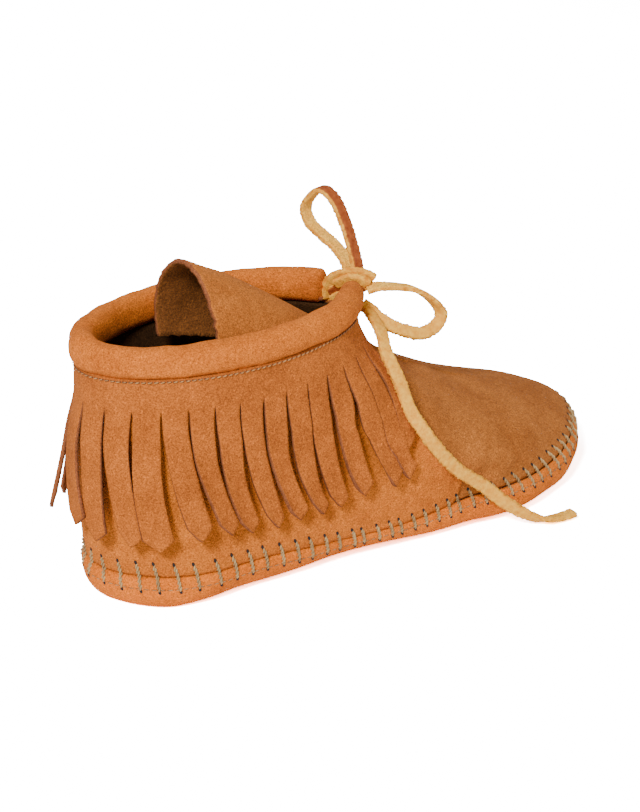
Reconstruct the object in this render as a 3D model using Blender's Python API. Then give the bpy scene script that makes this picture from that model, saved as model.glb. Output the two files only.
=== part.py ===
"""Fringed soft-sole moccasin boot, right shoe, standing empty on its sole.

Metres, +X from heel to toe, +Z up, +Y towards the inner side of the foot, floor at z = 0.
The origin is on the floor, in the middle of the heel's flat resting spot. The upper and the
sole are worked out from level slices of one last: each slice has a back, a front, a middle
line and a half width, read from short tables whose lengths are shares of the named sizes.
"""

import math

import bmesh
import bpy
import numpy as np

# Sizes of the last, and where the heel's resting spot lies in front of its back
LENGTH = 0.245
HEEL_REST = 0.0325
BALL_WIDTH = 0.0915
HEEL_WIDTH = 0.0695
INSTEP_HEIGHT = 0.075
COLLAR_HEIGHT = 0.0933
COLLAR_LENGTH = 0.1144
COLLAR_WIDTH = 0.065
COLLAR_SET = 0.0018
HEEL_SEAM = 0.0148
WAIST_SEAM = 0.0105
BALL_SEAM = 0.0147
TOE_SEAM = 0.0165
WIDENS_FROM = 0.25
WIDENS_TO = 0.65
ARCH_LIFT = 0.003
TOE_SPRING = 0.005

# Leather and clearances
WALL = 0.002
LAP = 0.0014
SOLE_WALL = 0.0024
SOLE_ROLL = 0.012
SOLE_BULGE = 0.005
INSOLE_THICK = 0.003
TONGUE_THICK = 0.0018
FRINGE_THICK = 0.0014
INSOLE_INSET = 0.0012
GAP = 0.0003

# Collar roll and throat
ROLL_HEIGHT = 0.013
ROLL_THICK = 0.0105
THROAT_GAP = 0.0092
THROAT_DROP = 0.0155
RIM_DROP = 0.001
ROLL_FOOT_SHARE = 0.85

# Fringe
STRIPS = 28
BAND_TOP = 0.0015
BAND_HEIGHT = 0.011
STRIP_LENGTH = 0.055
SLIT = 0.0009
STRIP_POINT = 0.0055
POINT_SHARE = 0.58
FRINGE_STAND = 0.0017
HEEL_FLARE = 0.004
SIDE_FLARE = 0.001
FRINGE_SET_BACK = math.radians(4)
FLARE_SHARE = 0.75
STAND_SHARE = 0.3
FLARE_POWER = 1.5

# Lace
LACE_THICK = 0.004
KNOT_THICK = 0.008

# How finely the slices are cut
QUARTER_COLUMNS = 22
VAMP_COLUMNS = 9
UPPER_ROWS = 12
SOLE_ROWS = 6
ROLL_STATIONS = 44
ROLL_SIDES = 12
TONGUE_COLUMNS = 12
BAND_ROWS = 2
STRIP_ROWS = 6
RUN_STEPS = 120
FRINGE_STEPS = 400
ROUTE_STEPS = 24
SLOPE_STEP = 0.004
EDGE_STEP = 0.004


def table(names, *rows):
    """Rows under named columns. The first column is what the others are read against."""
    columns = names.split()
    return {name: np.array([row[i] for row in rows], float) for i, name in enumerate(columns)}


def read(rows, column, at):
    """A column read smoothly between its rows, flat where it turns back."""
    places = next(iter(rows.values()))
    values = rows[column]
    steps = np.diff(places)
    slopes = np.diff(values) / steps
    lean = np.zeros(len(places))
    lean[0] = slopes[0]
    lean[-1] = slopes[-1]
    for i in range(1, len(places) - 1):
        if slopes[i - 1] * slopes[i] > 0:
            lean[i] = 2 * slopes[i - 1] * slopes[i] / (slopes[i - 1] + slopes[i])
    at = min(max(at, places[0]), places[-1])
    i = min(int(np.searchsorted(places, at, side="right")) - 1, len(steps) - 1)
    u = (at - places[i]) / steps[i]
    start = values[i] * (2 * u**3 - 3 * u**2 + 1) + lean[i] * steps[i] * (u**3 - 2 * u**2 + u)
    return start + values[i + 1] * (3 * u**2 - 2 * u**3) + lean[i + 1] * steps[i] * (u**3 - u**2)


def turn_of(along):
    """The turn round a slice, 0 at its back and pi at its front, at a share of its length."""
    return math.acos(1 - 2 * min(max(along, 0.0), 1.0))


def by_turn(names, *rows):
    """A table whose first column, a share of the length, is kept as a turn, so ends are round."""
    rows = [(turn_of(row[0]), *row[1:]) for row in rows]
    return table(names, *rows)


# Plan of the last at the seam: middle line as a share of the ball width, half width as a
# share of the width there, which goes from the heel's to the ball's
FOOT = by_turn(
    "turn middle half",
    (0.00, 0.000, 0.000),
    (0.03, 0.000, 0.262),
    (0.08, 0.000, 0.412),
    (0.16, 0.003, 0.488),
    (0.28, -0.014, 0.487),
    (0.40, -0.036, 0.435),
    (0.50, -0.045, 0.420),
    (0.60, -0.032, 0.430),
    (0.68, -0.011, 0.478),
    (0.74, 0.014, 0.492),
    (0.82, 0.041, 0.460),
    (0.90, 0.071, 0.366),
    (0.96, 0.092, 0.232),
    (1.00, 0.109, 0.000),
)
# Height of the seam round the foot: how much each named seam height counts, and how far
# the sole swells out below it, as a share of the sole's bulge
SEAM = table(
    "along heel waist ball toe bulge",
    (0.00, 1.0, 0.0, 0.0, 0.0, 0.25),
    (0.20, 0.9, 0.1, 0.0, 0.0, 0.30),
    (0.45, 0.0, 1.0, 0.0, 0.0, 0.55),
    (0.65, 0.0, 0.0, 1.0, 0.0, 1.00),
    (1.00, 0.0, 0.0, 0.0, 1.0, 0.90),
)
# Underside: shares of the arch lift, outer and inner side, and of the toe spring
FLOOR = table(
    "along lateral medial toe",
    (0.00, 0.0, 0.0, 0.0),
    (0.26, 0.0, 0.0, 0.0),
    (0.43, 0.5, 1.0, 0.0),
    (0.60, 0.0, 0.0, 0.0),
    (0.82, 0.0, 0.0, 0.0),
    (0.92, 0.0, 0.0, 0.35),
    (1.00, 0.0, 0.0, 1.0),
)
# Top line of the vamp: height as a share of the instep height, reach in front of the
# collar as a share of the vamp's length
VAMP = table(
    "height reach",
    (0.100, 1.010),
    (0.220, 1.000),
    (0.307, 0.958),
    (0.393, 0.868),
    (0.480, 0.737),
    (0.567, 0.595),
    (0.648, 0.476),
    (0.741, 0.363),
    (0.827, 0.255),
    (0.900, 0.185),
    (0.973, 0.114),
    (1.053, 0.060),
    (1.147, 0.020),
    (1.244, 0.000),
)
# From seam (0) to collar (1): set-in of the back as a share of the collar's set-in, how
# far the slice has turned into the collar's oval, and what is left of the foot's width
RISE = table(
    "rise back oval taper",
    (0.00, 0.30, 0.00, 1.000),
    (0.12, 0.06, 0.03, 1.000),
    (0.25, 0.00, 0.10, 0.975),
    (0.40, 0.08, 0.25, 0.930),
    (0.55, 0.25, 0.42, 0.890),
    (0.70, 0.50, 0.62, 0.860),
    (0.85, 0.78, 0.84, 0.850),
    (1.00, 1.00, 1.00, 0.850),
)
# Front edge of the quarter, as a share of its turn at the throat
EDGE = table(
    "rise edge",
    (0.00, 0.576),
    (0.25, 0.635),
    (0.50, 0.716),
    (0.70, 0.829),
    (0.85, 0.942),
    (1.00, 1.000),
)
# Tongue from its free end to its hidden front end: place as a share of the collar's length,
# top as a share of the instep's height, half width and drop as shares of the collar's width,
# and how far round in degrees the sides wrap
TONGUE = table(
    "along top half drop wrap",
    (0.3855, 1.698, 0.330, 0.440, 108),
    (0.5268, 1.586, 0.325, 0.400, 104),
    (0.7046, 1.418, 0.310, 0.345, 98),
    (0.8395, 1.279, 0.275, 0.285, 91),
    (0.9530, 1.154, 0.230, 0.220, 80),
    (1.0151, 1.060, 0.205, 0.180, 70),
    (1.0708, 1.005, 0.190, 0.140, 62),
    (1.1201, 0.952, 0.175, 0.120, 56),
    (1.1843, 0.886, 0.160, 0.100, 50),
)
# Length of the strips as a share of the longest, from the heel's middle to the throat
STRIP_LENGTHS = table(
    "turn length",
    (0.00, 0.83),
    (0.10, 0.87),
    (0.20, 0.93),
    (0.55, 0.95),
    (0.70, 0.93),
    (0.80, 0.88),
    (0.88, 0.84),
    (1.00, 0.83),
)
# Chosen by hand, in metres: where the lace runs
KNOT_ROUTE = ((0.0922, 0.0078, 0.0985), (0.0924, 0.0015, 0.0995), (0.0924, -0.0040, 0.0995))
HIGH_LOOP_ROUTE = (
    (0.0925, -0.0012, 0.1041),
    (0.0923, -0.0006, 0.1080),
    (0.0920, 0.0004, 0.1115),
    (0.0910, 0.0041, 0.1220),
    (0.0895, 0.0099, 0.1323),
    (0.0876, 0.0172, 0.1353),
    (0.0863, 0.0247, 0.1271),
    (0.0871, 0.0233, 0.1202),
    (0.0890, 0.0178, 0.1162),
    (0.0915, 0.0119, 0.1120),
    (0.0930, 0.0079, 0.1077),
    (0.0934, 0.0060, 0.1043),
)
SIDE_LOOP_ROUTE = (
    (0.0930, -0.0062, 0.0990),
    (0.0962, -0.0080, 0.0998),
    (0.0990, -0.0095, 0.0998),
    (0.1039, -0.0115, 0.0992),
    (0.1115, -0.0140, 0.0969),
    (0.1191, -0.0155, 0.0911),
    (0.1232, -0.0162, 0.0847),
    (0.1201, -0.0166, 0.0802),
    (0.1134, -0.0168, 0.0790),
    (0.1072, -0.0160, 0.0805),
    (0.1000, -0.0130, 0.0841),
    (0.0960, -0.0095, 0.0876),
    (0.0940, -0.0070, 0.0905),
)
LONG_END_ROUTE = (
    (0.0930, -0.0122, 0.0895),
    (0.0890, -0.0203, 0.0862),
    (0.0868, -0.0265, 0.0803),
    (0.0880, -0.0338, 0.0692),
    (0.0880, -0.0400, 0.0602),
    (0.0910, -0.0450, 0.0521),
    (0.0950, -0.0468, 0.0456),
    (0.1055, -0.0480, 0.0330),
    (0.1190, -0.0495, 0.0220),
    (0.1300, -0.0530, 0.0115),
    (0.1410, -0.0575, 0.0040),
    (0.1490, -0.0600, 0.0023),
    (0.1590, -0.0610, 0.0023),
)
SHORT_END_ROUTE = ((0.0926, -0.0062, 0.1036), (0.0936, -0.0100, 0.1038), (0.0944, -0.0132, 0.1032))


def smooth_step(low, high, at):
    u = min(max((at - low) / (high - low), 0.0), 1.0)
    return u * u * (3 - 2 * u)


def seam_height(along):
    shares = ((HEEL_SEAM, "heel"), (WAIST_SEAM, "waist"), (BALL_SEAM, "ball"), (TOE_SEAM, "toe"))
    return sum(size * read(SEAM, name, along) for size, name in shares)


def slice_ends(rise):
    """Back and front of the slice at this rise, as x."""
    back = COLLAR_SET * read(RISE, "back", rise)
    height = TOE_SEAM + (COLLAR_HEIGHT - TOE_SEAM) * rise
    collar_front = COLLAR_SET + COLLAR_LENGTH
    front = collar_front + (LENGTH - collar_front) * read(VAMP, "reach", height / INSTEP_HEIGHT)
    return back, front


def skin(turn, rise):
    """A point of the last. The turn is 0 at the back, pi at the front, under 0 on the inner side."""
    side = -1 if turn > 0 else 1
    turn = abs(turn)
    if turn > math.pi:
        turn = 2 * math.pi - turn
        side = -side
    along = (1 - math.cos(turn)) / 2
    back, front = slice_ends(rise)
    width = HEEL_WIDTH + (BALL_WIDTH - HEEL_WIDTH) * smooth_step(WIDENS_FROM, WIDENS_TO, along)
    oval = read(RISE, "oval", rise)
    foot_half = width * read(FOOT, "half", turn) * read(RISE, "taper", rise)
    half = (1 - oval) * foot_half + oval * COLLAR_WIDTH / 2 * math.sin(turn)
    middle = (1 - oval) * BALL_WIDTH * read(FOOT, "middle", turn)
    low = seam_height(along)
    return np.array([
        back + (front - back) * along - HEEL_REST,
        middle + side * half,
        low + (COLLAR_HEIGHT - low) * rise,
    ])


def outward(surface, turn, level):
    """The direction that faces out of a surface, from its two slopes."""
    low = max(level - SLOPE_STEP, 0.0)
    high = min(level + SLOPE_STEP, 1.0)
    round_way = surface(turn + SLOPE_STEP, level) - surface(turn - SLOPE_STEP, level)
    up_way = surface(turn, high) - surface(turn, low)
    direction = np.cross(round_way, up_way)
    return direction / np.linalg.norm(direction)


def off_skin(turn, rise, out):
    return skin(turn, rise) + outward(skin, turn, rise) * out


def edge_turn(rise):
    throat = math.pi - math.asin(THROAT_GAP / COLLAR_WIDTH)
    return throat * read(EDGE, "edge", rise)


def floor_height(turn):
    along = (1 - math.cos(turn)) / 2
    side = "lateral" if turn > 0 else "medial"
    return ARCH_LIFT * read(FLOOR, side, along) + TOE_SPRING * read(FLOOR, "toe", along)


def sole_skin(turn, level):
    """A point of the sole's side: level 1 at the seam, 0 where it meets the underside."""
    bend = math.pi / 2 * (1 - level)
    level_out = outward(skin, turn, 0.0)
    level_out[2] = 0
    level_out /= np.linalg.norm(level_out)
    bulge = SOLE_BULGE * read(SEAM, "bulge", (1 - math.cos(turn)) / 2)
    out = bulge * math.sin(2 * bend) - SOLE_ROLL * (1 - math.cos(bend))
    point = skin(turn, 0.0) + level_out * out
    low = floor_height(turn)
    point[2] = low + (point[2] - low) * (1 - math.sin(bend))
    return point


def off_sole(turn, level, out):
    if level == 0:
        return sole_skin(turn, 0.0) + np.array([0, 0, -out])
    return sole_skin(turn, level) + outward(sole_skin, turn, level) * out


def ring_turns():
    """Turns round a whole slice, with the quarter's edges where columns meet them.

    Each entry is the share of the way, and whether it lies on the quarter."""
    half = [(i / QUARTER_COLUMNS, True) for i in range(QUARTER_COLUMNS + 1)]
    half += [(i / VAMP_COLUMNS, False) for i in range(VAMP_COLUMNS + 1)]
    outer = [(1, share, quarter) for share, quarter in half]
    inner = [(-1, share, quarter) for share, quarter in half[1:-1]]
    return outer + inner[::-1]


def turn_at(column, rise):
    side, share, quarter = column
    edge = edge_turn(rise)
    if quarter:
        return side * edge * share
    return side * (edge + EDGE_STEP + (math.pi - edge - EDGE_STEP) * share)


def material(name, colour, roughness):
    finish = bpy.data.materials.new(name)
    finish.use_nodes = True
    shader = finish.node_tree.nodes["Principled BSDF"]
    shader.inputs["Base Color"].default_value = (*colour, 1)
    shader.inputs["Roughness"].default_value = roughness
    shader.inputs["Metallic"].default_value = 0
    return finish


def add_object(name, data, finish):
    piece = bpy.data.objects.new(name, data)
    bpy.context.scene.collection.objects.link(piece)
    data.materials.append(finish)
    return piece


def add_solid(name, work, finish):
    """A named object from a closed bmesh, its faces turned outwards."""
    bmesh.ops.recalc_face_normals(work, faces=work.faces)
    mesh = bpy.data.meshes.new(name)
    work.to_mesh(mesh)
    work.free()
    mesh.shade_smooth()
    mesh.set_sharp_from_angle(angle=math.radians(40))
    return add_object(name, mesh, finish)


def bridge(work, loops, closed):
    """Faces between loops of equal length, and from the last back to the first if closed."""
    rows = [[work.verts.new(point) for point in loop] for loop in loops]
    pairs = list(zip(rows, rows[1:]))
    if closed:
        pairs.append((rows[-1], rows[0]))
    for low, high in pairs:
        for i in range(len(low)):
            j = (i + 1) % len(low)
            work.faces.new((low[i], low[j], high[j], high[i]))
    return rows


def cross_strips(work, row):
    """Closes a loop that is mirrored about its first vertex by strips from side to side."""
    count = len(row)
    work.faces.new((row[0], row[1], row[-1]))
    for i in range(1, count // 2 - 1):
        work.faces.new((row[i], row[i + 1], row[count - i - 1], row[count - i]))
    work.faces.new((row[count // 2 - 1], row[count // 2], row[count // 2 + 1]))


def wall_top(column):
    """The rise where the upper ends: at the collar, but lower across the throat."""
    side, share, quarter = column
    drop = RIM_DROP if quarter else THROAT_DROP
    return 1.0 - drop / (COLLAR_HEIGHT - TOE_SEAM)


def build_upper(leather):
    columns = ring_turns()
    bottom = GAP / 2 / (COLLAR_HEIGHT - BALL_SEAM)
    outer = []
    inner = []
    for row in range(UPPER_ROWS + 1):
        outer_loop = []
        inner_loop = []
        for column in columns:
            rise = bottom + (wall_top(column) - bottom) * row / UPPER_ROWS
            turn = turn_at(column, rise)
            lap = LAP if column[2] else 0.0
            outer_loop.append(off_skin(turn, rise, lap))
            inner_loop.append(off_skin(turn, rise, -WALL))
        outer.append(outer_loop)
        inner.append(inner_loop)
    work = bmesh.new()
    bridge(work, outer + inner[::-1], closed=True)
    return add_solid("upper", work, leather)


def build_sole(leather):
    columns = ring_turns()
    top = 1 - GAP / 2 / BALL_SEAM
    turns = [turn_at(column, 0.0) for column in columns]
    levels = [top * (1 - row / SOLE_ROWS) for row in range(SOLE_ROWS + 1)]
    outer = [[off_sole(turn, level, 0.0) for turn in turns] for level in levels]
    inner = [[off_sole(turn, level, -SOLE_WALL) for turn in turns] for level in levels]
    work = bmesh.new()
    rows = bridge(work, outer[::-1] + inner, closed=False)
    cross_strips(work, rows[0])
    cross_strips(work, rows[-1])
    return add_solid("sole", work, leather)


def drawn_in(loop, distance):
    """A loop moved in along the strips that join its two sides, so it stays on them."""
    count = len(loop)
    moved = []
    for i, point in enumerate(loop):
        other = loop[(count - i) % count]
        if i in (0, count // 2):
            other = (loop[(i + 1) % count] + loop[i - 1]) / 2
        moved.append(point + (other - point) / np.linalg.norm(other - point) * distance)
    return moved


def build_insole(suede):
    turns = [turn_at(column, 0.0) for column in ring_turns()]
    edge = drawn_in([off_sole(turn, 0, -SOLE_WALL - GAP) for turn in turns], INSOLE_INSET)
    lift = np.array([0, 0, INSOLE_THICK])
    work = bmesh.new()
    rows = bridge(work, [edge, [point + lift for point in edge]], closed=False)
    cross_strips(work, rows[0])
    cross_strips(work, rows[1])
    return add_solid("insole", work, suede)


def thick_lattice(name, outer, inner, filled, finish):
    """A sheet on a lattice of columns and rows: two skins, and an edge round what is filled."""
    work = bmesh.new()
    out_verts = [[work.verts.new(point) for point in column] for column in outer]
    in_verts = [[work.verts.new(point) for point in column] for column in inner]
    columns = len(outer) - 1
    rows = len(outer[0]) - 1

    def is_filled(c, r):
        return 0 <= c < columns and 0 <= r < rows and filled(c, r)

    for c in range(columns):
        for r in range(rows):
            if not is_filled(c, r):
                continue
            corners = ((c, r), (c + 1, r), (c + 1, r + 1), (c, r + 1))
            work.faces.new([out_verts[i][j] for i, j in corners])
            work.faces.new([in_verts[i][j] for i, j in reversed(corners)])
            beyond = ((c, r - 1), (c + 1, r), (c, r + 1), (c - 1, r))
            for k, cell in enumerate(beyond):
                if not is_filled(*cell):
                    (a, b), (d, e) = corners[k], corners[(k + 1) % 4]
                    work.faces.new((out_verts[d][e], out_verts[a][b], in_verts[a][b], in_verts[d][e]))
    for vert in [vert for vert in work.verts if not vert.link_faces]:
        work.verts.remove(vert)
    return add_solid(name, work, finish)


def build_collar(leather):
    """The rolled collar: a bead round the top edge, open at the throat."""
    end = edge_turn(1.0)
    half_thick = ROLL_THICK / 2
    half_high = ROLL_HEIGHT / 2
    middle_out = (LAP - WALL) / 2
    lift = np.array([0, 0, 1.0])
    loops = []
    for i in range(ROLL_STATIONS + 1):
        turn = end * (1 - 2 * i / ROLL_STATIONS)
        centre = skin(turn, 1.0)
        level_out = outward(skin, turn, 1.0)
        level_out[2] = 0
        level_out /= np.linalg.norm(level_out)
        loop = []
        for k in range(ROLL_SIDES):
            angle = 2 * math.pi * k / ROLL_SIDES
            out = middle_out + half_thick * math.cos(angle)
            up = GAP + half_high * (1 + max(math.sin(angle), -ROLL_FOOT_SHARE))
            up -= half_high * (1 - ROLL_FOOT_SHARE)
            loop.append(centre + level_out * out + lift * up)
        loops.append(loop)
    work = bmesh.new()
    rows = bridge(work, loops, closed=False)
    work.faces.new(rows[0][::-1])
    work.faces.new(rows[-1])
    return add_solid("collar", work, leather)


def build_tongue(leather):
    """The end of the vamp, bent up through the throat and back over the opening."""
    outer = []
    inner = []
    for station in range(len(TONGUE["along"])):
        row = {name: values[station] for name, values in TONGUE.items()}
        x = row["along"] * COLLAR_LENGTH - HEEL_REST
        top = row["top"] * INSTEP_HEIGHT
        half = row["half"] * COLLAR_WIDTH
        drop = row["drop"] * COLLAR_WIDTH
        outer_row = []
        inner_row = []
        for k in range(TONGUE_COLUMNS + 1):
            bend = row["wrap"] * (2 * k / TONGUE_COLUMNS - 1)
            y_way = math.sin(math.radians(bend))
            z_way = math.cos(math.radians(bend))
            centre = np.array([x, 0, top - drop])
            outer_row.append(centre + np.array([0, half * y_way, drop * z_way]))
            inner_half = half - TONGUE_THICK
            inner_drop = drop - TONGUE_THICK
            inner_row.append(centre + np.array([0, inner_half * y_way, inner_drop * z_way]))
        outer.append(outer_row)
        inner.append(inner_row)
    return thick_lattice("tongue", outer, inner, lambda c, r: True, leather)


def run_round(rise):
    """The run along a slice from the middle of its back, on its outer and inner side."""
    turns = np.linspace(0, math.pi, RUN_STEPS)
    runs = []
    for side in (1, -1):
        points = np.array([skin(side * turn, rise) for turn in turns])
        lengths = np.linalg.norm(np.diff(points, axis=0), axis=1)
        runs.append(np.concatenate([[0], np.cumsum(lengths)]))
    return turns, runs[0], runs[1]


def hang_turn(turn, top_run, low_run):
    """The turn at a lower slice, at the same run from the back as this turn has at the collar."""
    side = 1 if turn > 0 else 2
    reach = np.interp(abs(turn), top_run[0], top_run[side])
    return math.copysign(np.interp(reach, low_run[side], low_run[0]), turn)


def fringe_rows():
    """How far down each row of the fringe lies, its rise, and the run round the last there."""
    downs = list(np.linspace(BAND_TOP, BAND_HEIGHT, BAND_ROWS + 1))
    downs += [BAND_HEIGHT + STRIP_LENGTH * (i + 1) / STRIP_ROWS for i in range(STRIP_ROWS)]
    rises = [1 - down / (COLLAR_HEIGHT - BALL_SEAM) for down in downs]
    return [(down, rise, run_round(rise)) for down, rise in zip(downs, rises)]


def fringe_point(turn, row, top_run, cut, out):
    """A point of the fringe on one of its rows, drawn up by the cut of the strip's point."""
    down, rise, low_run = row
    hang = max(down - BAND_HEIGHT, 0) / STRIP_LENGTH
    lower = hang_turn(turn, top_run, low_run)
    rise += cut / (COLLAR_HEIGHT - BALL_SEAM)
    flare = HEEL_FLARE * smooth_step(FLARE_SHARE, 0.0, abs(turn) / math.pi) + SIDE_FLARE
    stand = GAP + FRINGE_STAND * smooth_step(0.0, STAND_SHARE, hang)
    return off_skin(lower, rise, LAP + stand + out + flare * hang ** FLARE_POWER)


def collar_turns(count):
    """Turns that part the fringe's run into equal lengths, from outer to inner side."""
    end = edge_turn(1.0) - FRINGE_SET_BACK
    fine = np.linspace(end, -end, FRINGE_STEPS)
    points = np.array([skin(turn, 1.0) for turn in fine])
    run = np.concatenate([[0], np.cumsum(np.linalg.norm(np.diff(points, axis=0), axis=1))])
    return np.interp(np.linspace(0, run[-1], count + 1), run, fine), run[-1]


def build_fringe(leather):
    """A band under the roll with its strips: three columns a strip, slits between them."""
    edges, run = collar_turns(STRIPS)
    slit_share = SLIT / (run / STRIPS) / 2
    top_run = run_round(1.0)
    rows = fringe_rows()
    outer = []
    inner = []
    for k in range(STRIPS):
        start = edges[k] + (edges[k + 1] - edges[k]) * slit_share
        end = edges[k + 1] - (edges[k + 1] - edges[k]) * slit_share
        point_share = 1 - POINT_SHARE if start + end > 0 else POINT_SHARE
        middle_turn = abs(start + end) / 2
        short = STRIP_LENGTH * (1 - read(STRIP_LENGTHS, "length", middle_turn / math.pi))
        for share in (0.0, point_share, 1.0):
            turn = start + (end - start) * share
            cuts = [short * max(i - BAND_ROWS, 0) / STRIP_ROWS for i in range(len(rows))]
            cuts[-1] += 0.0 if share == point_share else STRIP_POINT
            pairs = list(zip(rows, cuts))
            outer.append([fringe_point(turn, row, top_run, cut, FRINGE_THICK) for row, cut in pairs])
            inner.append([fringe_point(turn, row, top_run, cut, 0.0) for row, cut in pairs])

    def is_leather(c, r):
        return r < BAND_ROWS or c % 3 != 2

    return thick_lattice("fringe", outer, inner, is_leather, leather)


def smooth_route(points, spacing):
    """Points at an even spacing on a smooth curve through the chosen ones."""
    points = np.array(points, float)
    before = np.vstack([2 * points[0] - points[1], points, 2 * points[-1] - points[-2]])
    fine = []
    for i in range(1, len(points)):
        a, b, c, d = before[i - 1:i + 3]
        for u in np.linspace(0, 1, ROUTE_STEPS, endpoint=False):
            fine.append(0.5 * (2 * b + (c - a) * u + (2 * a - 5 * b + 4 * c - d) * u**2
                               + (3 * b - a - 3 * c + d) * u**3))
    fine.append(points[-1])
    fine = np.array(fine)
    run = np.concatenate([[0], np.cumsum(np.linalg.norm(np.diff(fine, axis=0), axis=1))])
    places = np.linspace(0, run[-1], max(int(round(run[-1] / spacing)), 2) + 1)
    return np.stack([np.interp(places, run, fine[:, axis]) for axis in range(3)], axis=1)


def add_lace(name, route, thick, finish):
    curve = bpy.data.curves.new(name, "CURVE")
    curve.dimensions = "3D"
    curve.bevel_depth = thick / 2
    curve.bevel_resolution = 2
    curve.use_fill_caps = True
    points = smooth_route(route, 2 * thick)
    spline = curve.splines.new("POLY")
    spline.points.add(len(points) - 1)
    for spot, point in zip(spline.points, points):
        spot.co = (*point, 1)
    return add_object(name, curve, finish)


def main():
    for old in list(bpy.data.objects):
        bpy.data.objects.remove(old, do_unlink=True)
    suede = material("brown_suede", (0.55, 0.24, 0.08), 0.9)
    dark = material("dark_suede", (0.20, 0.10, 0.04), 0.9)
    thong = material("lace_leather", (0.65, 0.38, 0.16), 0.8)
    build_upper(suede)
    build_sole(suede)
    build_insole(dark)
    build_collar(suede)
    build_tongue(suede)
    build_fringe(suede)
    add_lace("lace_knot", KNOT_ROUTE, KNOT_THICK, thong)
    add_lace("lace_loop_high", HIGH_LOOP_ROUTE, LACE_THICK, thong)
    add_lace("lace_loop_side", SIDE_LOOP_ROUTE, LACE_THICK, thong)
    add_lace("lace_end_long", LONG_END_ROUTE, LACE_THICK, thong)
    add_lace("lace_end_short", SHORT_END_ROUTE, LACE_THICK, thong)


main()
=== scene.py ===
# %% [markdown]
# # A fringed moccasin boot
# The real boot is sewn from soft suede: a pouch of a sole, an upper whose back half is laid over
# the vamp, a padded roll round the ankle, a cut fringe that hangs from under the roll, and a
# leather thong that is tied at the throat. The CAD frame already fixes every size, so this lesson
# dresses it: it loads the frame.

# %% Load the frame
import math

import bmesh
import bpy
import numpy as np
from mathutils import Matrix, Vector


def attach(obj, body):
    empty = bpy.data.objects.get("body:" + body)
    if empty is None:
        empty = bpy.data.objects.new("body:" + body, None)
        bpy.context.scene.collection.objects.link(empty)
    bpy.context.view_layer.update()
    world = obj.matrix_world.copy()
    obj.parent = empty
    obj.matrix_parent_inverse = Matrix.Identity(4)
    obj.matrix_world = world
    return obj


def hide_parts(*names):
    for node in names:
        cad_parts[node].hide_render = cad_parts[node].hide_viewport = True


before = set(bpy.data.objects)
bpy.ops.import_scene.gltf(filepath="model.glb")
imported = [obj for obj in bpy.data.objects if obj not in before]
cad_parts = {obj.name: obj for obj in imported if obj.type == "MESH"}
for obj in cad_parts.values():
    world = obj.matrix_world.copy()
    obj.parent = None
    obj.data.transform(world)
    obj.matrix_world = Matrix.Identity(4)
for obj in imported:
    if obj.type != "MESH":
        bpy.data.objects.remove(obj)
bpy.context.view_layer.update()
print("CAD nodes:", sorted(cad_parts))

# %% [markdown]
# The camera comes first, because every later choice is judged through it. The boot is seen from
# behind its outer side and a little above. A long lens from 0.83 m keeps the mild perspective.

# %% Camera
AIM = Vector((0.08096, 0.0, 0.04575))
VIEW_TURN = math.radians(-37.3)
VIEW_RISE = math.radians(23.8)
VIEW_DISTANCE = 0.829
LENS = 90.97
FRAME_TALL = 812

to_camera = Vector((
    math.sin(VIEW_TURN) * math.cos(VIEW_RISE),
    -math.cos(VIEW_TURN) * math.cos(VIEW_RISE),
    math.sin(VIEW_RISE),
))
picture_right = Vector((math.cos(VIEW_TURN), math.sin(VIEW_TURN), 0.0))
picture_up = to_camera.cross(picture_right)
camera_data = bpy.data.cameras.new("camera")
camera_data.lens = LENS
camera_data.sensor_width = 36
camera_data.shift_x = -13 / FRAME_TALL
camera_data.shift_y = 9 / FRAME_TALL
camera_data.clip_start = 0.01
camera = bpy.data.objects.new("camera", camera_data)
axes = Matrix((picture_right, picture_up, to_camera)).transposed().to_4x4()
camera.matrix_world = Matrix.Translation(AIM + to_camera * VIEW_DISTANCE) @ axes
bpy.context.scene.collection.objects.link(camera)
bpy.context.scene.camera = camera
print("camera stands at", [round(v, 3) for v in camera.matrix_world.translation])

# %% [markdown]
# Every pattern that more than one leather shares is a node group. Suede is cut flesh: it has
# cloudy patches where the nap lies over, freckles a millimetre wide, and a fine pile. The group
# mixes five noises on Object coordinates, so nothing slides when the piece is seen from elsewhere.

# %% Node helpers
def join(tree, out_socket, in_socket):
    tree.links.new(out_socket, in_socket)


def add_node(tree, kind, inputs=None, **settings):
    """A node with its settings, and its inputs: a link where the value is another socket."""
    node = tree.nodes.new(kind)
    for key, value in settings.items():
        setattr(node, key, value)
    for key, value in (inputs or {}).items():
        if hasattr(value, "links"):
            join(tree, value, node.inputs[key])
        else:
            node.inputs[key].default_value = value
    return node


def group_tree(name, kind, inputs, outputs):
    """A node tree with named sockets: its input and output nodes come back with it."""
    tree = bpy.data.node_groups.new(name, kind)
    for socket_name, socket_kind, value in inputs:
        socket = tree.interface.new_socket(socket_name, in_out="INPUT", socket_type=socket_kind)
        if value is not None:
            socket.default_value = value
    for socket_name, socket_kind in outputs:
        tree.interface.new_socket(socket_name, in_out="OUTPUT", socket_type=socket_kind)
    return tree, tree.nodes.new("NodeGroupInput"), tree.nodes.new("NodeGroupOutput")


def noise(tree, place, scale, detail, rough):
    return add_node(tree, "ShaderNodeTexNoise", {
        "Vector": place, "Scale": scale, "Detail": detail, "Roughness": rough}).outputs["Fac"]


def spread(tree, value, low, high, to_low=0.0, to_high=1.0):
    return add_node(tree, "ShaderNodeMapRange", {
        "Value": value, "From Min": low, "From Max": high,
        "To Min": to_low, "To Max": to_high}).outputs["Result"]


def maths(tree, operation, a, b):
    return add_node(tree, "ShaderNodeMath", {0: a, 1: b}, operation=operation).outputs[0]


def times(tree, a, b):
    return maths(tree, "MULTIPLY", a, b)


def plus(tree, a, b):
    return maths(tree, "ADD", a, b)


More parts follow.
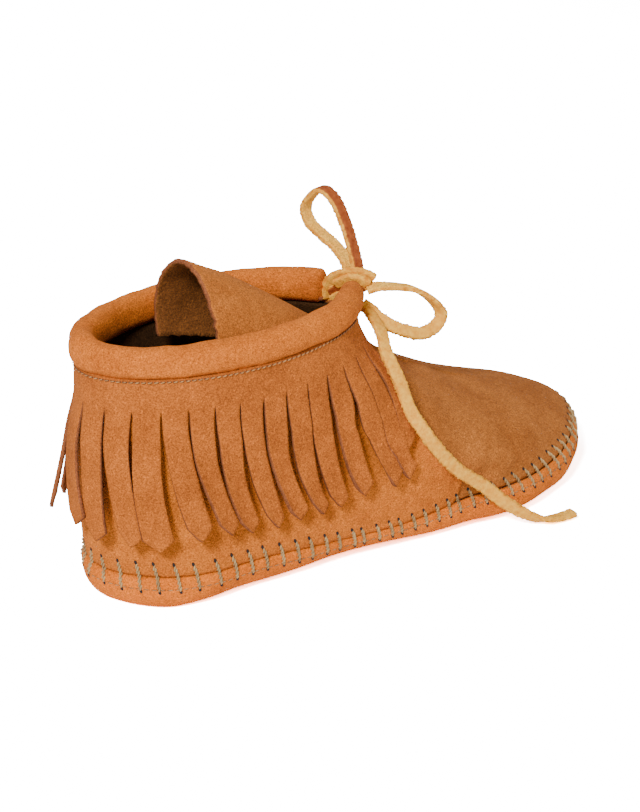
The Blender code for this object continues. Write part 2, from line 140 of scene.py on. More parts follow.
def blend_colour(tree, share, a, b):
    return add_node(tree, "ShaderNodeMix", {0: share, 6: a, 7: b}, data_type="RGBA").outputs[2]


def object_place(tree):
    return tree.nodes.new("ShaderNodeTexCoord").outputs["Object"]


def new_finish(name):
    """A material with its node tree and its shader."""
    finish = bpy.data.materials.new(name)
    finish.use_nodes = True
    return finish, finish.node_tree, finish.node_tree.nodes["Principled BSDF"]


def give_relief(tree, shader, height, distance, strength):
    relief = add_node(tree, "ShaderNodeBump", {
        "Height": height, "Distance": distance, "Strength": strength})
    join(tree, relief.outputs["Normal"], shader.inputs["Normal"])


# %% Suede nap, shared by every suede finish
PILE_SCALE = 1900
BRUSH_SCALE = 280
FLECK_SCALE = 1250
CLOUD_SHARE = 0.38
SPECK_SHARE = 0.34
BRUSH_SHARE = 0.2


def linear(red, green, blue):
    """A colour as seen on screen, from 0 to 255, as the shader wants it."""
    values = [v / 255 for v in (red, green, blue)]
    return (*[v / 12.92 if v <= 0.04045 else ((v + 0.055) / 1.055) ** 2.4 for v in values], 1.0)


def build_nap():
    tree, given, put = group_tree(
        "suede nap", "ShaderNodeTree",
        [("Lit", "NodeSocketColor", (0.8, 0.5, 0.25, 1)),
         ("Laid", "NodeSocketColor", (0.5, 0.25, 0.1, 1)),
         ("Patch Scale", "NodeSocketFloat", 60.0), ("Freckle Scale", "NodeSocketFloat", 900.0),
         ("Pile Depth", "NodeSocketFloat", 0.5)],
        [("Color", "NodeSocketColor"), ("Roughness", "NodeSocketFloat"),
         ("Height", "NodeSocketFloat")])
    place = object_place(tree)
    patch = noise(tree, place, given.outputs["Patch Scale"], 4, 0.6)
    freckle = noise(tree, place, given.outputs["Freckle Scale"], 3, 0.65)
    pile = noise(tree, place, PILE_SCALE, 2, 0.6)
    cloud = spread(tree, patch, 0.33, 0.67)
    speck = spread(tree, freckle, 0.3, 0.7)
    brush = spread(tree, noise(tree, place, BRUSH_SCALE, 3, 0.6), 0.35, 0.65)
    share = plus(tree, times(tree, cloud, CLOUD_SHARE), times(tree, speck, SPECK_SHARE))
    share = plus(tree, share, times(tree, brush, BRUSH_SHARE))
    fleck = spread(tree, noise(tree, place, FLECK_SCALE, 2, 0.5), 0.58, 0.70, 1.0, 1.4)
    grit = times(tree, spread(tree, pile, 0.25, 0.75, 0.45, 1.5), fleck)
    tinted = add_node(tree, "ShaderNodeHueSaturation", {
        "Color": blend_colour(tree, share, given.outputs["Lit"], given.outputs["Laid"]),
        "Value": grit})
    join(tree, tinted.outputs["Color"], put.inputs["Color"])
    join(tree, spread(tree, freckle, 0.2, 0.8, 0.84, 1.0), put.inputs["Roughness"])
    fine = plus(tree, times(tree, pile, 0.6), times(tree, freckle, 0.7))
    join(tree, times(tree, fine, given.outputs["Pile Depth"]), put.inputs["Height"])
    return tree


suede_nap = build_nap()
print("suede nap has", len(suede_nap.nodes), "nodes")


# %% Suede finishes
def suede(name, lit, laid, patch=60.0, freckle=1100.0, pile=0.7, sheen=0.03, bump=0.0009):
    finish, tree, shader = new_finish(name)
    for key, value in (("Sheen Weight", sheen), ("Sheen Roughness", 0.55),
                       ("Sheen Tint", (1.0, 0.62, 0.32, 1)), ("Specular IOR Level", 0.06)):
        shader.inputs[key].default_value = value
    nap = add_node(tree, "ShaderNodeGroup", node_tree=suede_nap)
    for key, value in (("Lit", lit), ("Laid", laid), ("Patch Scale", patch),
                       ("Freckle Scale", freckle), ("Pile Depth", pile)):
        nap.inputs[key].default_value = value
    give_relief(tree, shader, nap.outputs["Height"], bump, 0.9)
    join(tree, nap.outputs["Color"], shader.inputs["Base Color"])
    join(tree, nap.outputs["Roughness"], shader.inputs["Roughness"])
    return finish


outside_suede = suede("outside_suede", linear(208, 116, 40), linear(150, 74, 22))
# The vamp is the same suede painted darker: painted shade for the side that faces away from the key
# lamp.
vamp_suede = suede("vamp_suede", linear(180, 108, 48), linear(124, 65, 23), patch=45)
# The tongue is a little darker than the quarter: painted shade on its up-facing top.
tongue_suede = suede("tongue_suede", linear(200, 119, 51), linear(144, 77, 27), patch=50)
# The sole is the same suede painted brighter: painted light for the heel that faces the key lamp
# and the floor.
sole_suede = suede("sole_suede", linear(226, 120, 32), linear(172, 80, 18), patch=50)
# The fringe is painted darker than the quarter: painted shade for the roll's shadow on the band.
fringe_suede = suede("fringe_suede", linear(186, 101, 38), linear(130, 65, 23), patch=75)
roll_suede = suede("roll_suede", linear(212, 116, 38), linear(152, 74, 22), patch=55)
# Inside of the sole and vamp: painted shade, near black, for the shadow deep in the boot's hollow.
inside_suede = suede("inside_suede", linear(64, 40, 20), linear(38, 24, 12),
                     pile=0.8, sheen=0.0)
flesh_side = suede("flesh_side", linear(146, 90, 44), linear(108, 64, 30),
                   freckle=900, pile=1.2, sheen=0.0)
cut_edge = suede("cut_edge", linear(150, 88, 54), linear(98, 54, 32),
                 freckle=1600, pile=1.2, bump=0.0006)
insole_cover = suede("insole_cover", linear(206, 150, 190), linear(160, 112, 146),
                     freckle=1400, sheen=0.0)
print("finishes:", len(bpy.data.materials))

# %% [markdown]
# The lace is a leather thong, cut flat: a smooth red-brown grain face, a fuzzy tan flesh face,
# and raw edges. A round tube would look like cord, so the section is a flat rounded strip that is
# swept along the route, and each row of a route also says how far the strip leans about its own
# line. The routes follow the CAD lace, with the hidden ends led a little further into the knot.

# %% Routes and the flat strip
THONG_WIDE = 0.0052
THONG_THICK = 0.0023
THONG_ROUND = 8
THONG_STEP = 0.0006

HIGH_LOOP = (
    (0.0925, -0.0012, 0.1041, 0),
    (0.0923, -0.0006, 0.1080, 0),
    (0.0920, 0.0004, 0.1115, 0),
    (0.0910, 0.0041, 0.1220, 0),
    (0.0895, 0.0099, 0.1323, 0),
    (0.0876, 0.0172, 0.1353, 0),
    (0.0863, 0.0247, 0.1271, 0),
    (0.0871, 0.0233, 0.1202, 0),
    (0.0890, 0.0178, 0.1162, 0),
    (0.0915, 0.0119, 0.1120, 0),
    (0.0930, 0.0079, 0.1077, 0),
    (0.0934, 0.0060, 0.1043, 0),
)
SIDE_LOOP = (
    (0.0930, -0.0062, 0.0990, 10),
    (0.0962, -0.0080, 0.0998, 10),
    (0.0990, -0.0095, 0.0998, 8),
    (0.1039, -0.0115, 0.0992, 4),
    (0.1115, -0.0140, 0.0969, 0),
    (0.1191, -0.0155, 0.0911, -8),
    (0.1232, -0.0162, 0.0847, -25),
    (0.1201, -0.0166, 0.0802, -40),
    (0.1134, -0.0168, 0.0790, -52),
    (0.1072, -0.0160, 0.0805, -62),
    (0.1000, -0.0130, 0.0841, -75),
    (0.0960, -0.0095, 0.0876, -85),
    (0.0940, -0.0070, 0.0905, -90),
    (0.0920, -0.0045, 0.0923, -90),
)
LONG_END = (
    (0.0924, -0.0076, 0.0911, -45),
    (0.0890, -0.0203, 0.0862, -50),
    (0.0868, -0.0265, 0.0803, -60),
    (0.0880, -0.0338, 0.0692, -60),
    (0.0880, -0.0400, 0.0602, -50),
    (0.0910, -0.0450, 0.0521, -52),
    (0.0950, -0.0468, 0.0456, -59),
    (0.1055, -0.0480, 0.0330, -68),
    (0.1190, -0.0495, 0.0220, -66),
    (0.1300, -0.0530, 0.0115, -50),
    (0.1410, -0.0575, 0.0040, -25),
    (0.1490, -0.0600, 0.0023, -6),
    (0.1590, -0.0610, 0.0023, 0),
)


def smooth_route(rows, spacing):
    """Points at an even spacing on a smooth curve through the chosen rows."""
    rows = np.array(rows, float)
    before = np.vstack([2 * rows[0] - rows[1], rows, 2 * rows[-1] - rows[-2]])
    share = np.linspace(0, 1, 24, endpoint=False)[:, None]
    fine = []
    for a, b, c, d in zip(before, before[1:], before[2:], before[3:]):
        fine.append(0.5 * (2 * b + (c - a) * share + (2 * a - 5 * b + 4 * c - d) * share**2
                           + (3 * b - a - 3 * c + d) * share**3))
    fine = np.vstack(fine + [rows[-1:]])
    run = np.concatenate([[0], np.cumsum(np.linalg.norm(np.diff(fine[:, :3], axis=0), axis=1))])
    places = np.linspace(0, run[-1], max(int(round(run[-1] / spacing)), 2) + 1)
    return np.stack([np.interp(places, run, column) for column in fine.T], axis=1), run[-1]


def unit(vectors):
    return vectors / np.linalg.norm(vectors, axis=-1, keepdims=True)


def new_object(name, mesh, *finishes):
    piece = bpy.data.objects.new(name, mesh)
    bpy.context.scene.collection.objects.link(piece)
    for finish in finishes:
        mesh.materials.append(finish)
    return piece


def grid_mesh(name, grid, round_way=False, caps=False):
    """A mesh on rows of points. Rows run round where round_way is set; caps close both ends."""
    rows, columns = grid.shape[:2]
    verts = grid.reshape(-1, 3).tolist()
    index = np.arange(rows * columns).reshape(rows, columns)
    faces = []
    for r in range(rows - 1):
        for c in range(columns if round_way else columns - 1):
            d = (c + 1) % columns
            faces.append((index[r, c], index[r, d], index[r + 1, d], index[r + 1, c]))
    if caps:
        faces.append(tuple(index[0][::-1]))
        faces.append(tuple(index[-1]))
    mesh = bpy.data.meshes.new(name)
    mesh.from_pydata(verts, [], [tuple(map(int, face)) for face in faces])
    mesh.shade_smooth()
    return mesh


def face_out(mesh):
    """Turns every face of a closed mesh outwards."""
    work = bmesh.new()
    work.from_mesh(mesh)
    bmesh.ops.recalc_face_normals(work, faces=work.faces)
    work.to_mesh(mesh)
    work.free()


random = np.random.default_rng(7)


def strip_section(wide, thick):
    """Points round a flat strip with rounded corners: across it, and from flesh to grain."""
    points = []
    for corner in range(4):
        across = 1 if corner in (0, 3) else -1
        up = 1 if corner < 2 else -1
        for k in range(THONG_ROUND // 2):
            angle = math.pi / 2 * (corner + k / (THONG_ROUND // 2 - 1))
            bend = thick * 0.32
            points.append((across * (wide / 2 - bend) + bend * math.cos(angle),
                           up * (thick / 2 - bend) + bend * math.sin(angle)))
        ends = {0: (1, -1), 2: (-1, 1)}.get(corner)
        if ends:
            side = up * thick / 2
            points += [(share * (wide / 2 - bend) * ends[0], side)
                       for share in (0.6, 0.2, -0.2, -0.6)]
    return np.array(points)


def thong(name, rows, axis, wide, thick, finish, ragged=0.00024):
    """A leather strip along a route. Its flat lies along the axis, turned by each row's lean."""
    route, run = smooth_route(rows, THONG_STEP)
    line, lean = route[:, :3], np.radians(route[:, 3])[:, None]
    ahead = unit(np.gradient(line, axis=0))
    flat = unit(np.array(axis) - (ahead @ np.array(axis))[:, None] * ahead)
    face = np.cross(ahead, flat)
    turned = flat * np.cos(lean) + face * np.sin(lean)
    flat, face = turned, face * np.cos(lean) - flat * np.sin(lean)
    section = strip_section(wide, thick)
    edge = (np.abs(section[:, 0]) > wide * 0.38).astype(float)
    rough = random.normal(0, ragged, (len(line), len(section))) * edge
    across = section[:, 0] + rough * np.sign(section[:, 0])
    grid = (line[:, None] + flat[:, None] * across[..., None]
            + face[:, None] * section[:, 1][None, :, None])
    mesh = grid_mesh(name, grid, round_way=True, caps=True)
    face_out(mesh)
    side = mesh.attributes.new("grain_side", "FLOAT", "POINT")
    side.data.foreach_set("value", np.tile(section[:, 1] / thick * 2, len(line)))
    piece = new_object(name, mesh, finish)
    print(name, "is", round(run * 1000), "mm long,", len(mesh.polygons), "faces")
    return piece, line, run


# %% [markdown]
# The thong's material reads an attribute that says which face a point is on, so grain, flesh and
# raw edge each get their own colour in one finish, and the grain is smoother than the other two.

# %% Thong leather
def thong_leather(name, grain, flesh, raw):
    finish = suede(name, *flesh, patch=160, freckle=1300, pile=1.2, sheen=0.02, bump=0.0007)
    tree = finish.node_tree
    shader = tree.nodes["Principled BSDF"]
    fuzzy = shader.inputs["Base Color"].links[0].from_socket
    pile_rough = shader.inputs["Roughness"].links[0].from_socket
    side = add_node(tree, "ShaderNodeAttribute", attribute_name="grain_side").outputs["Fac"]
    wear = noise(tree, object_place(tree), 500, 4, 0.6)
    smooth = blend_colour(tree, spread(tree, wear, 0.3, 0.7), *grain)
    on_grain = spread(tree, side, 0.75, 0.98)
    at_edge = spread(tree, side, -0.9, -0.6)
    raw_colour = blend_colour(tree, spread(tree, wear, 0.35, 0.65), *raw)
    colour = blend_colour(tree, at_edge, fuzzy, raw_colour)
    colour = blend_colour(tree, on_grain, colour, smooth)
    join(tree, colour, shader.inputs["Base Color"])
    slick = spread(tree, on_grain, 0, 1, 0.0, 0.42)
    join(tree, maths(tree, "SUBTRACT", pile_rough, slick), shader.inputs["Roughness"])
    return finish


tan_flesh = (linear(252, 200, 86), linear(222, 144, 40))
tan_raw = (linear(250, 186, 70), linear(214, 130, 34))
brown_grain = (linear(170, 88, 42), linear(134, 60, 26))
pale_grain = (linear(246, 184, 70), linear(220, 142, 38))
bow_leather = thong_leather("bow_leather", brown_grain, tan_flesh, tan_raw)
pale_leather = thong_leather("pale_leather", pale_grain, tan_flesh, tan_raw)
print("thong leather has", len(bow_leather.node_tree.nodes), "nodes")

# %% [markdown]
# The bow is one upright loop, one loop that lies over the vamp, one long end that falls to the
# floor beside the boot, and a short cut end. The knot is a strip wound over the two roll ends.

# %% Bow, knot and ends
LOOP_AXIS = (-0.969, -0.246, 0.0)
SIDE_AXIS = (0.0, -1.0, 0.0)
END_AXIS = (0.35, -0.94, 0.0)

high_loop, high_line, high_run = thong(
    "bow_loop_high", HIGH_LOOP, LOOP_AXIS, THONG_WIDE + 0.0008, THONG_THICK, bow_leather)
side_loop, side_line, side_run = thong(
    "bow_loop_side", SIDE_LOOP, SIDE_AXIS, THONG_WIDE, THONG_THICK, pale_leather)
long_end, long_line, long_run = thong(
    "bow_end_long", LONG_END, END_AXIS, THONG_WIDE, THONG_THICK, pale_leather)

KNOT_WRAP = (
    (0.0833, 0.0071, 0.0939, 0), (0.0829, 0.0065, 0.0972, 0), (0.0832, 0.0055, 0.1008, 0),
    (0.0848, 0.0031, 0.1036, 0), (0.0877, 0.0003, 0.1050, 0), (0.0911, -0.0022, 0.1052, 0),
    (0.0946, -0.0042, 0.1040, 0), (0.0970, -0.0057, 0.1024, 0),
)
KNOT_CROSS = (
    (0.0842, 0.0082, 0.0921, 0), (0.0861, 0.0061, 0.0936, 0), (0.0884, 0.0038, 0.0950, 0),
    (0.0911, 0.0022, 0.0957, 0), (0.0940, 0.0007, 0.0947, 0),
)
KNOT_UNDER = (
    (0.0836, 0.0067, 0.0961, 0), (0.0860, 0.0047, 0.0983, 0), (0.0878, 0.0018, 0.1004, 0),
    (0.0898, -0.0008, 0.1011, 0), (0.0923, -0.0021, 0.0997, 0), (0.0943, -0.0034, 0.0975, 0),
)
STUB = (
    (0.0849, 0.0038, 0.1000, 0), (0.0869, 0.0007, 0.1022, 0), (0.0893, -0.0027, 0.1030, 0),
    (0.0922, -0.0048, 0.1020, 0), (0.0938, -0.0058, 0.1008, 0),
)
ACROSS_VIEW = (-0.45, -0.15, 0.85)
knot_wrap, _, _ = thong("knot_wrap", KNOT_WRAP, ACROSS_VIEW, 0.0046, 0.0024, pale_leather)
knot_cross, _, _ = thong("knot_cross", KNOT_CROSS, ACROSS_VIEW, 0.0054, 0.0028, pale_leather)
knot_under, _, _ = thong("knot_under", KNOT_UNDER, ACROSS_VIEW, 0.0050, 0.0026, bow_leather)
stub, _, _ = thong("bow_end_short", STUB, ACROSS_VIEW, 0.0046, 0.0024, pale_leather)
for piece in (high_loop, side_loop, long_end, knot_wrap, knot_cross, knot_under, stub):
    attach(piece, "root")
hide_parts("lace_loop_high")
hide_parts("lace_loop_side")
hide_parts("lace_end_long")
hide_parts("lace_end_short")
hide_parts("lace_knot")

# %% [markdown]
# The upper and sole come from one last, and the CAD solids were cut from it as level slices.
# The same slices are worked out again here, a row of numbers at a time, so the soft surface that
# is seen lies exactly on the solids that are simulated, only much finer.

# %% Sizes of the last
LENGTH = 0.245
HEEL_REST = 0.0325
BALL_WIDTH = 0.0915
HEEL_WIDTH = 0.0695
INSTEP_HEIGHT = 0.075
COLLAR_HEIGHT = 0.0933
COLLAR_LENGTH = 0.1144
COLLAR_WIDTH = 0.065
COLLAR_SET = 0.0018
SEAM_SIZES = {"heel": 0.0148, "waist": 0.0105, "ball": 0.0147, "toe": 0.0165}
BALL_SEAM = SEAM_SIZES["ball"]
TOE_SEAM = SEAM_SIZES["toe"]
ARCH_LIFT = 0.003
TOE_SPRING = 0.005
WALL = 0.002
LAP = 0.0014
SOLE_WALL = 0.0024
SOLE_ROLL = 0.012
SOLE_BULGE = 0.005
THROAT_GAP = 0.0092
THROAT_DROP = 0.0155
SLOPE_STEP = 0.004


def table(names, *rows):
    """Rows under named columns. The first column is what the others are read against."""
    return {name: np.array([row[i] for row in rows], float) for i, name in enumerate(names.split())}


def by_turn(names, *rows):
    return table(names, *[(math.acos(1 - 2 * row[0]), *row[1:]) for row in rows])


def read(rows, column, at):
    """A column read smoothly between its rows, flat where it turns back."""
    places = next(iter(rows.values()))
    values = rows[column]
    steps = np.diff(places)
    slopes = np.diff(values) / steps
    same = slopes[:-1] * slopes[1:] > 0
    total = np.where(same, slopes[:-1] + slopes[1:], 1.0)
    lean = np.concatenate([
        slopes[:1], np.where(same, 2 * slopes[:-1] * slopes[1:] / total, 0.0), slopes[-1:]])
    at = np.clip(at, places[0], places[-1])
    i = np.clip(np.searchsorted(places, at, side="right") - 1, 0, len(steps) - 1)
    u = (at - places[i]) / steps[i]
    start = values[i] * (2 * u**3 - 3 * u**2 + 1) + lean[i] * steps[i] * (u**3 - 2 * u**2 + u)
    return start + values[i + 1] * (3 * u**2 - 2 * u**3) + lean[i + 1] * steps[i] * (u**3 - u**2)


# Plan of the last at the seam: middle line as a share of the ball width, half width as a
# share of the width there, which goes from the heel's to the ball's
FOOT = by_turn(
    "turn middle half",
    (0.00, 0.000, 0.000),
    (0.03, 0.000, 0.262),
    (0.08, 0.000, 0.412),
    (0.16, 0.003, 0.488),
    (0.28, -0.014, 0.487),
    (0.40, -0.036, 0.435),
    (0.50, -0.045, 0.420),
    (0.60, -0.032, 0.430),
    (0.68, -0.011, 0.478),
    (0.74, 0.014, 0.492),
    (0.82, 0.041, 0.460),
    (0.90, 0.071, 0.366),
    (0.96, 0.092, 0.232),
    (1.00, 0.109, 0.000),
)
# Height of the seam round the foot: how much each named seam height counts, and how far
# the sole swells out below it, as a share of the sole's bulge
SEAM = table(
    "along heel waist ball toe bulge",
    (0.00, 1.0, 0.0, 0.0, 0.0, 0.25),
    (0.20, 0.9, 0.1, 0.0, 0.0, 0.30),
    (0.45, 0.0, 1.0, 0.0, 0.0, 0.55),
    (0.65, 0.0, 0.0, 1.0, 0.0, 1.00),
    (1.00, 0.0, 0.0, 0.0, 1.0, 0.90),
)
# Underside: shares of the arch lift, outer and inner side, and of the toe spring
FLOOR = table(
    "along lateral medial toe",
    (0.00, 0.0, 0.0, 0.0),
    (0.26, 0.0, 0.0, 0.0),
    (0.43, 0.5, 1.0, 0.0),
    (0.60, 0.0, 0.0, 0.0),
    (0.82, 0.0, 0.0, 0.0),
    (0.92, 0.0, 0.0, 0.35),
    (1.00, 0.0, 0.0, 1.0),
)
# Top line of the vamp: height as a share of the instep height, reach in front of the
# collar as a share of the vamp's length
VAMP = table(
    "height reach",
    (0.100, 1.010),
    (0.220, 1.000),
    (0.307, 0.958),
    (0.393, 0.868),
    (0.480, 0.737),
    (0.567, 0.595),
    (0.648, 0.476),
    (0.741, 0.363),
    (0.827, 0.255),
    (0.900, 0.185),
    (0.973, 0.114),
    (1.053, 0.060),
    (1.147, 0.020),
    (1.244, 0.000),
)
# From seam (0) to collar (1): set-in of the back as a share of the collar's set-in, how
# far the slice has turned into the collar's oval, and what is left of the foot's width
RISE = table(
    "rise back oval taper",
    (0.00, 0.30, 0.00, 1.000),
    (0.12, 0.06, 0.03, 1.000),
    (0.25, 0.00, 0.10, 0.975),
    (0.40, 0.08, 0.25, 0.930),
    (0.55, 0.25, 0.42, 0.890),
    (0.70, 0.50, 0.62, 0.860),
    (0.85, 0.78, 0.84, 0.850),
    (1.00, 1.00, 1.00, 0.850),
)
# Front edge of the quarter, as a share of its turn at the throat
EDGE = table(
    "rise edge",
    (0.00, 0.576),
    (0.25, 0.635),
    (0.50, 0.716),
    (0.70, 0.829),
    (0.85, 0.942),
    (1.00, 1.000),
)


# %% Slices of the last
def smooth_step(low, high, at):
    u = np.clip((np.asarray(at, float) - low) / (high - low), 0.0, 1.0)
    return u * u * (3 - 2 * u)


def seam_height(along):
    return sum(size * read(SEAM, name, along) for name, size in SEAM_SIZES.items())


def skin(turn, rise):
    """Points of the last. The turn is 0 at the back, pi at the toe, under 0 on the inner side."""
    turn, rise = np.broadcast_arrays(np.asarray(turn, float), np.asarray(rise, float))
    turn = np.where(turn > math.pi, turn - 2 * math.pi, turn)
    turn = np.where(turn < -math.pi, turn + 2 * math.pi, turn)
    side = np.where(turn > 0, -1.0, 1.0)
    turn = np.abs(turn)
    along = (1 - np.cos(turn)) / 2
    back = COLLAR_SET * read(RISE, "back", rise)
    height = TOE_SEAM + (COLLAR_HEIGHT - TOE_SEAM) * rise
    collar_front = COLLAR_SET + COLLAR_LENGTH
    front = collar_front + (LENGTH - collar_front) * read(VAMP, "reach", height / INSTEP_HEIGHT)
    width = HEEL_WIDTH + (BALL_WIDTH - HEEL_WIDTH) * smooth_step(0.25, 0.65, along)
    oval = read(RISE, "oval", rise)
    foot_half = width * read(FOOT, "half", turn) * read(RISE, "taper", rise)
    half = (1 - oval) * foot_half + oval * COLLAR_WIDTH / 2 * np.sin(turn)
    middle = (1 - oval) * BALL_WIDTH * read(FOOT, "middle", turn)
    low = seam_height(along)
    return np.stack([back + (front - back) * along - HEEL_REST, middle + side * half,
                     low + (COLLAR_HEIGHT - low) * rise], axis=-1)


def outward(surface, turn, level):
    """The direction that faces out of a surface, from its two slopes."""
    turn, level = np.broadcast_arrays(np.asarray(turn, float), np.asarray(level, float))
    low = np.maximum(level - SLOPE_STEP, 0.0)
    high = np.minimum(level + SLOPE_STEP, 1.0)
    round_way = surface(turn + SLOPE_STEP, level) - surface(turn - SLOPE_STEP, level)
    return unit(np.cross(round_way, surface(turn, high) - surface(turn, low)))


def edge_turn(rise):
    return (math.pi - math.asin(THROAT_GAP / COLLAR_WIDTH)) * read(EDGE, "edge", rise)


def sole_skin(turn, level):
    """The sole's side: level 1 at the seam, 0 where it meets the underside."""
    turn, level = np.broadcast_arrays(np.asarray(turn, float), np.asarray(level, float))
    bend = math.pi / 2 * (1 - level)
    wrapped = np.where(turn > math.pi, turn - 2 * math.pi, turn)
    along = (1 - np.cos(turn)) / 2
    level_out = outward(skin, turn, 0.0) * (1.0, 1.0, 0.0)
    out = SOLE_BULGE * read(SEAM, "bulge", along) * np.sin(2 * bend)
    out = out - SOLE_ROLL * (1 - np.cos(bend))
    point = skin(turn, 0.0) + unit(level_out) * out[..., None]
    side = np.where(wrapped > 0, read(FLOOR, "lateral", along), read(FLOOR, "medial", along))
    low = ARCH_LIFT * side + TOE_SPRING * read(FLOOR, "toe", along)
    point[..., 2] = low + (point[..., 2] - low) * (1 - np.sin(bend))
    return point


print("last: heel", skin(0.0, 0.0).round(4), "toe", skin(math.pi, 0.0).round(4))

# %% [markdown]
# Soft suede isn't smooth over a last: it has slack folds where the quarter meets the vamp, a dip
# across the instep, and slight waves along the pouch of the sole. Each one is placed here as a soft
# trough with low shoulders, from one spot of the slices to another.

# %% Creases placed one by one
# turn is a share of the half turn, + outer side, - inner side; rise from seam to collar;
# width and depth in millimetres, depth under 0 for a ridge
CREASES = table(
    "turn_a rise_a turn_b rise_b width depth",
    (0.575, 0.02, 0.640, 0.16, 3.6, 1.1),
    (0.615, 0.01, 0.690, 0.11, 3.2, 0.9),
    (0.560, 0.10, 0.655, 0.30, 5.0, 0.8),
    (0.660, 0.14, 0.760, 0.27, 6.0, 0.7),
    (0.700, 0.05, 0.800, 0.12, 6.0, 0.6),
    (0.640, 0.42, 0.800, 0.58, 6.0, 0.9),
    (0.760, 0.60, 0.930, 0.74, 5.0, 0.8),
    (0.720, 0.50, 0.880, 0.62, 7.0, -0.6),
    (0.840, 0.36, 0.985, 0.46, 9.0, 0.7),
    (0.300, 0.06, 0.480, 0.05, 6.0, -0.5),
    (0.200, 0.14, 0.400, 0.17, 7.0, 0.5),
    (-0.575, 0.02, -0.650, 0.18, 3.6, 1.0),
    (-0.620, 0.01, -0.700, 0.12, 3.4, 0.8),
    (-0.640, 0.40, -0.800, 0.57, 6.0, 0.9),
    (-0.760, 0.60, -0.930, 0.74, 5.0, 0.8),
    (-0.840, 0.36, -0.985, 0.46, 9.0, 0.6),
    (-0.300, 0.10, -0.480, 0.13, 7.0, 0.6),
)
CREASE_SAG = 0.02


def crease_relief(points):
    """How far each point of the upper is moved along its normal by the creases."""
    flat = points.reshape(-1, 3)
    relief = np.zeros(len(flat))
    share = np.linspace(0, 1, 26)
    for row in zip(*CREASES.values()):
        turn_a, rise_a, turn_b, rise_b, width, depth = row
        rise = rise_a + (rise_b - rise_a) * share + CREASE_SAG * np.sin(math.pi * share)
        line = skin(math.pi * (turn_a + (turn_b - turn_a) * share), rise)
        gap = np.linalg.norm(flat[:, None] - line[None], axis=2)
        nearest = gap.argmin(axis=1)
        fade = np.sin(math.pi * np.clip(share[nearest], 0.03, 0.97)) ** 0.7
        far = gap.min(axis=1) / (width / 1000)
        trough = np.exp(-far**2) - 0.4 * np.exp(-((far - 1.7) ** 2) / 0.6)
        relief -= depth / 1000 * fade * trough
    return relief.reshape(points.shape[:-1])


def waves(points, size, height, seed):
    """Slow unevenness of hand-worked leather, as a sum of a few sine waves in space."""
    draw = np.random.default_rng(seed)
    total = 0
    for _ in range(7):
        way = unit(draw.normal(size=3)) * (2 * math.pi / (size * draw.uniform(0.6, 1.8)))
        total = total + np.sin(points @ way + draw.uniform(0, 6.3))
    return total * height / 7 ** 0.5


print("creases:", len(CREASES["width"]))

# %% [markdown]
# Every panel is a skin with one outer face. Solidify gives it the real leather's thickness, and its
# material offsets put flesh on the inner face and a raw edge on the rim; inside the sole and the
# vamp, and on the vamp's rim, they put painted shade instead.

# %% Panels with real thickness
def bake(piece):
    """The object's mesh with its modifiers worked in, as a plain mesh."""
    graph = bpy.context.evaluated_depsgraph_get()
    mesh = bpy.data.meshes.new_from_object(piece.evaluated_get(graph))
    piece.modifiers.clear()
    if piece.type == "MESH":
        piece.data = mesh
        mesh.name = piece.name
        return piece
    name = piece.name
    bpy.data.objects.remove(piece)
    made = bpy.data.objects.new(name, mesh)
    bpy.context.scene.collection.objects.link(made)
    return made


def thicken(piece, thickness):
    wall = piece.modifiers.new("leather", "SOLIDIFY")
    wall.thickness = thickness
    wall.offset = -1
    wall.use_even_offset = False
    wall.use_quality_normals = True
    wall.material_offset = 1
    wall.material_offset_rim = 2
    return bake(piece)


def finish_piece(piece, slot, *nodes):
    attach(piece, "root")
    if nodes:
        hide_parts(*nodes)
    print(piece.name, len(piece.data.polygons), "faces")


# %% [markdown]
# The sole is one pouch: its side rolls under from the seam, and its underside is flat only where
# it rests. The side is a grid of levels, and the underside is laid in strips from side to side.

# %% Sole
RING = 420
SOLE_LEVELS = 30
UNDER_CROSS = 20
SEAM_LIFT = 0.0007
HEEL_FULL = 0.0028
# Turns round half a slice, and round a whole one in mirrored pairs
half_ring = math.pi * np.linspace(0, 1, RING // 2 + 1)
whole_ring = np.concatenate([-half_ring[::-1][:-1], half_ring[:-1]])


def sole_outer(turn, level):
    """The sole as it is seen: plumped at the seam, slightly waved, flat where it rests."""
    point = sole_skin(turn, level)
    out = outward(sole_skin, turn, level)
    plump = SEAM_LIFT * smooth_step(0.55, 0.93, level) * (1 - 0.9 * smooth_step(0.965, 1.0, level))
    side = np.sin(math.pi * np.clip(level, 0, 1))
    slack = waves(point, 0.030, 0.00035, 3) * side
    along = (1 - np.cos(turn)) / 2
    slack = slack + HEEL_FULL * (1 - smooth_step(0.0, 0.22, along)) * side
    point = point + out * (plump + slack)[..., None]
    point[..., 2] = np.maximum(point[..., 2], 0.0)
    return point


def build_sole():
    levels = np.linspace(0.0, 0.998, SOLE_LEVELS + 1)
    side = sole_outer(whole_ring[None, :], levels[:, None])
    mesh = grid_mesh("sole_side", side, round_way=True)
    outer = sole_outer(half_ring, 0.0)
    inner = sole_outer(-half_ring, 0.0)
    share = np.linspace(0, 1, UNDER_CROSS + 1)[:, None, None]
    under = outer[None] * (1 - share) + inner[None] * share
    under_mesh = grid_mesh("sole_under", under)
    work = bmesh.new()
    work.from_mesh(mesh)
    work.from_mesh(under_mesh)
    bmesh.ops.remove_doubles(work, verts=work.verts, dist=1e-6)
    bmesh.ops.recalc_face_normals(work, faces=work.faces)
    lowest = min(work.faces, key=lambda face: face.calc_center_median().z)
    if lowest.normal.z > 0:
        bmesh.ops.reverse_faces(work, faces=work.faces)
    work.to_mesh(mesh)
    work.free()
    mesh.shade_smooth()
    bpy.data.meshes.remove(under_mesh)
    piece = new_object("pouch_sole", mesh, sole_suede, inside_suede, cut_edge)
    return thicken(piece, SOLE_WALL)


finish_piece(build_sole(), "suede", "sole")

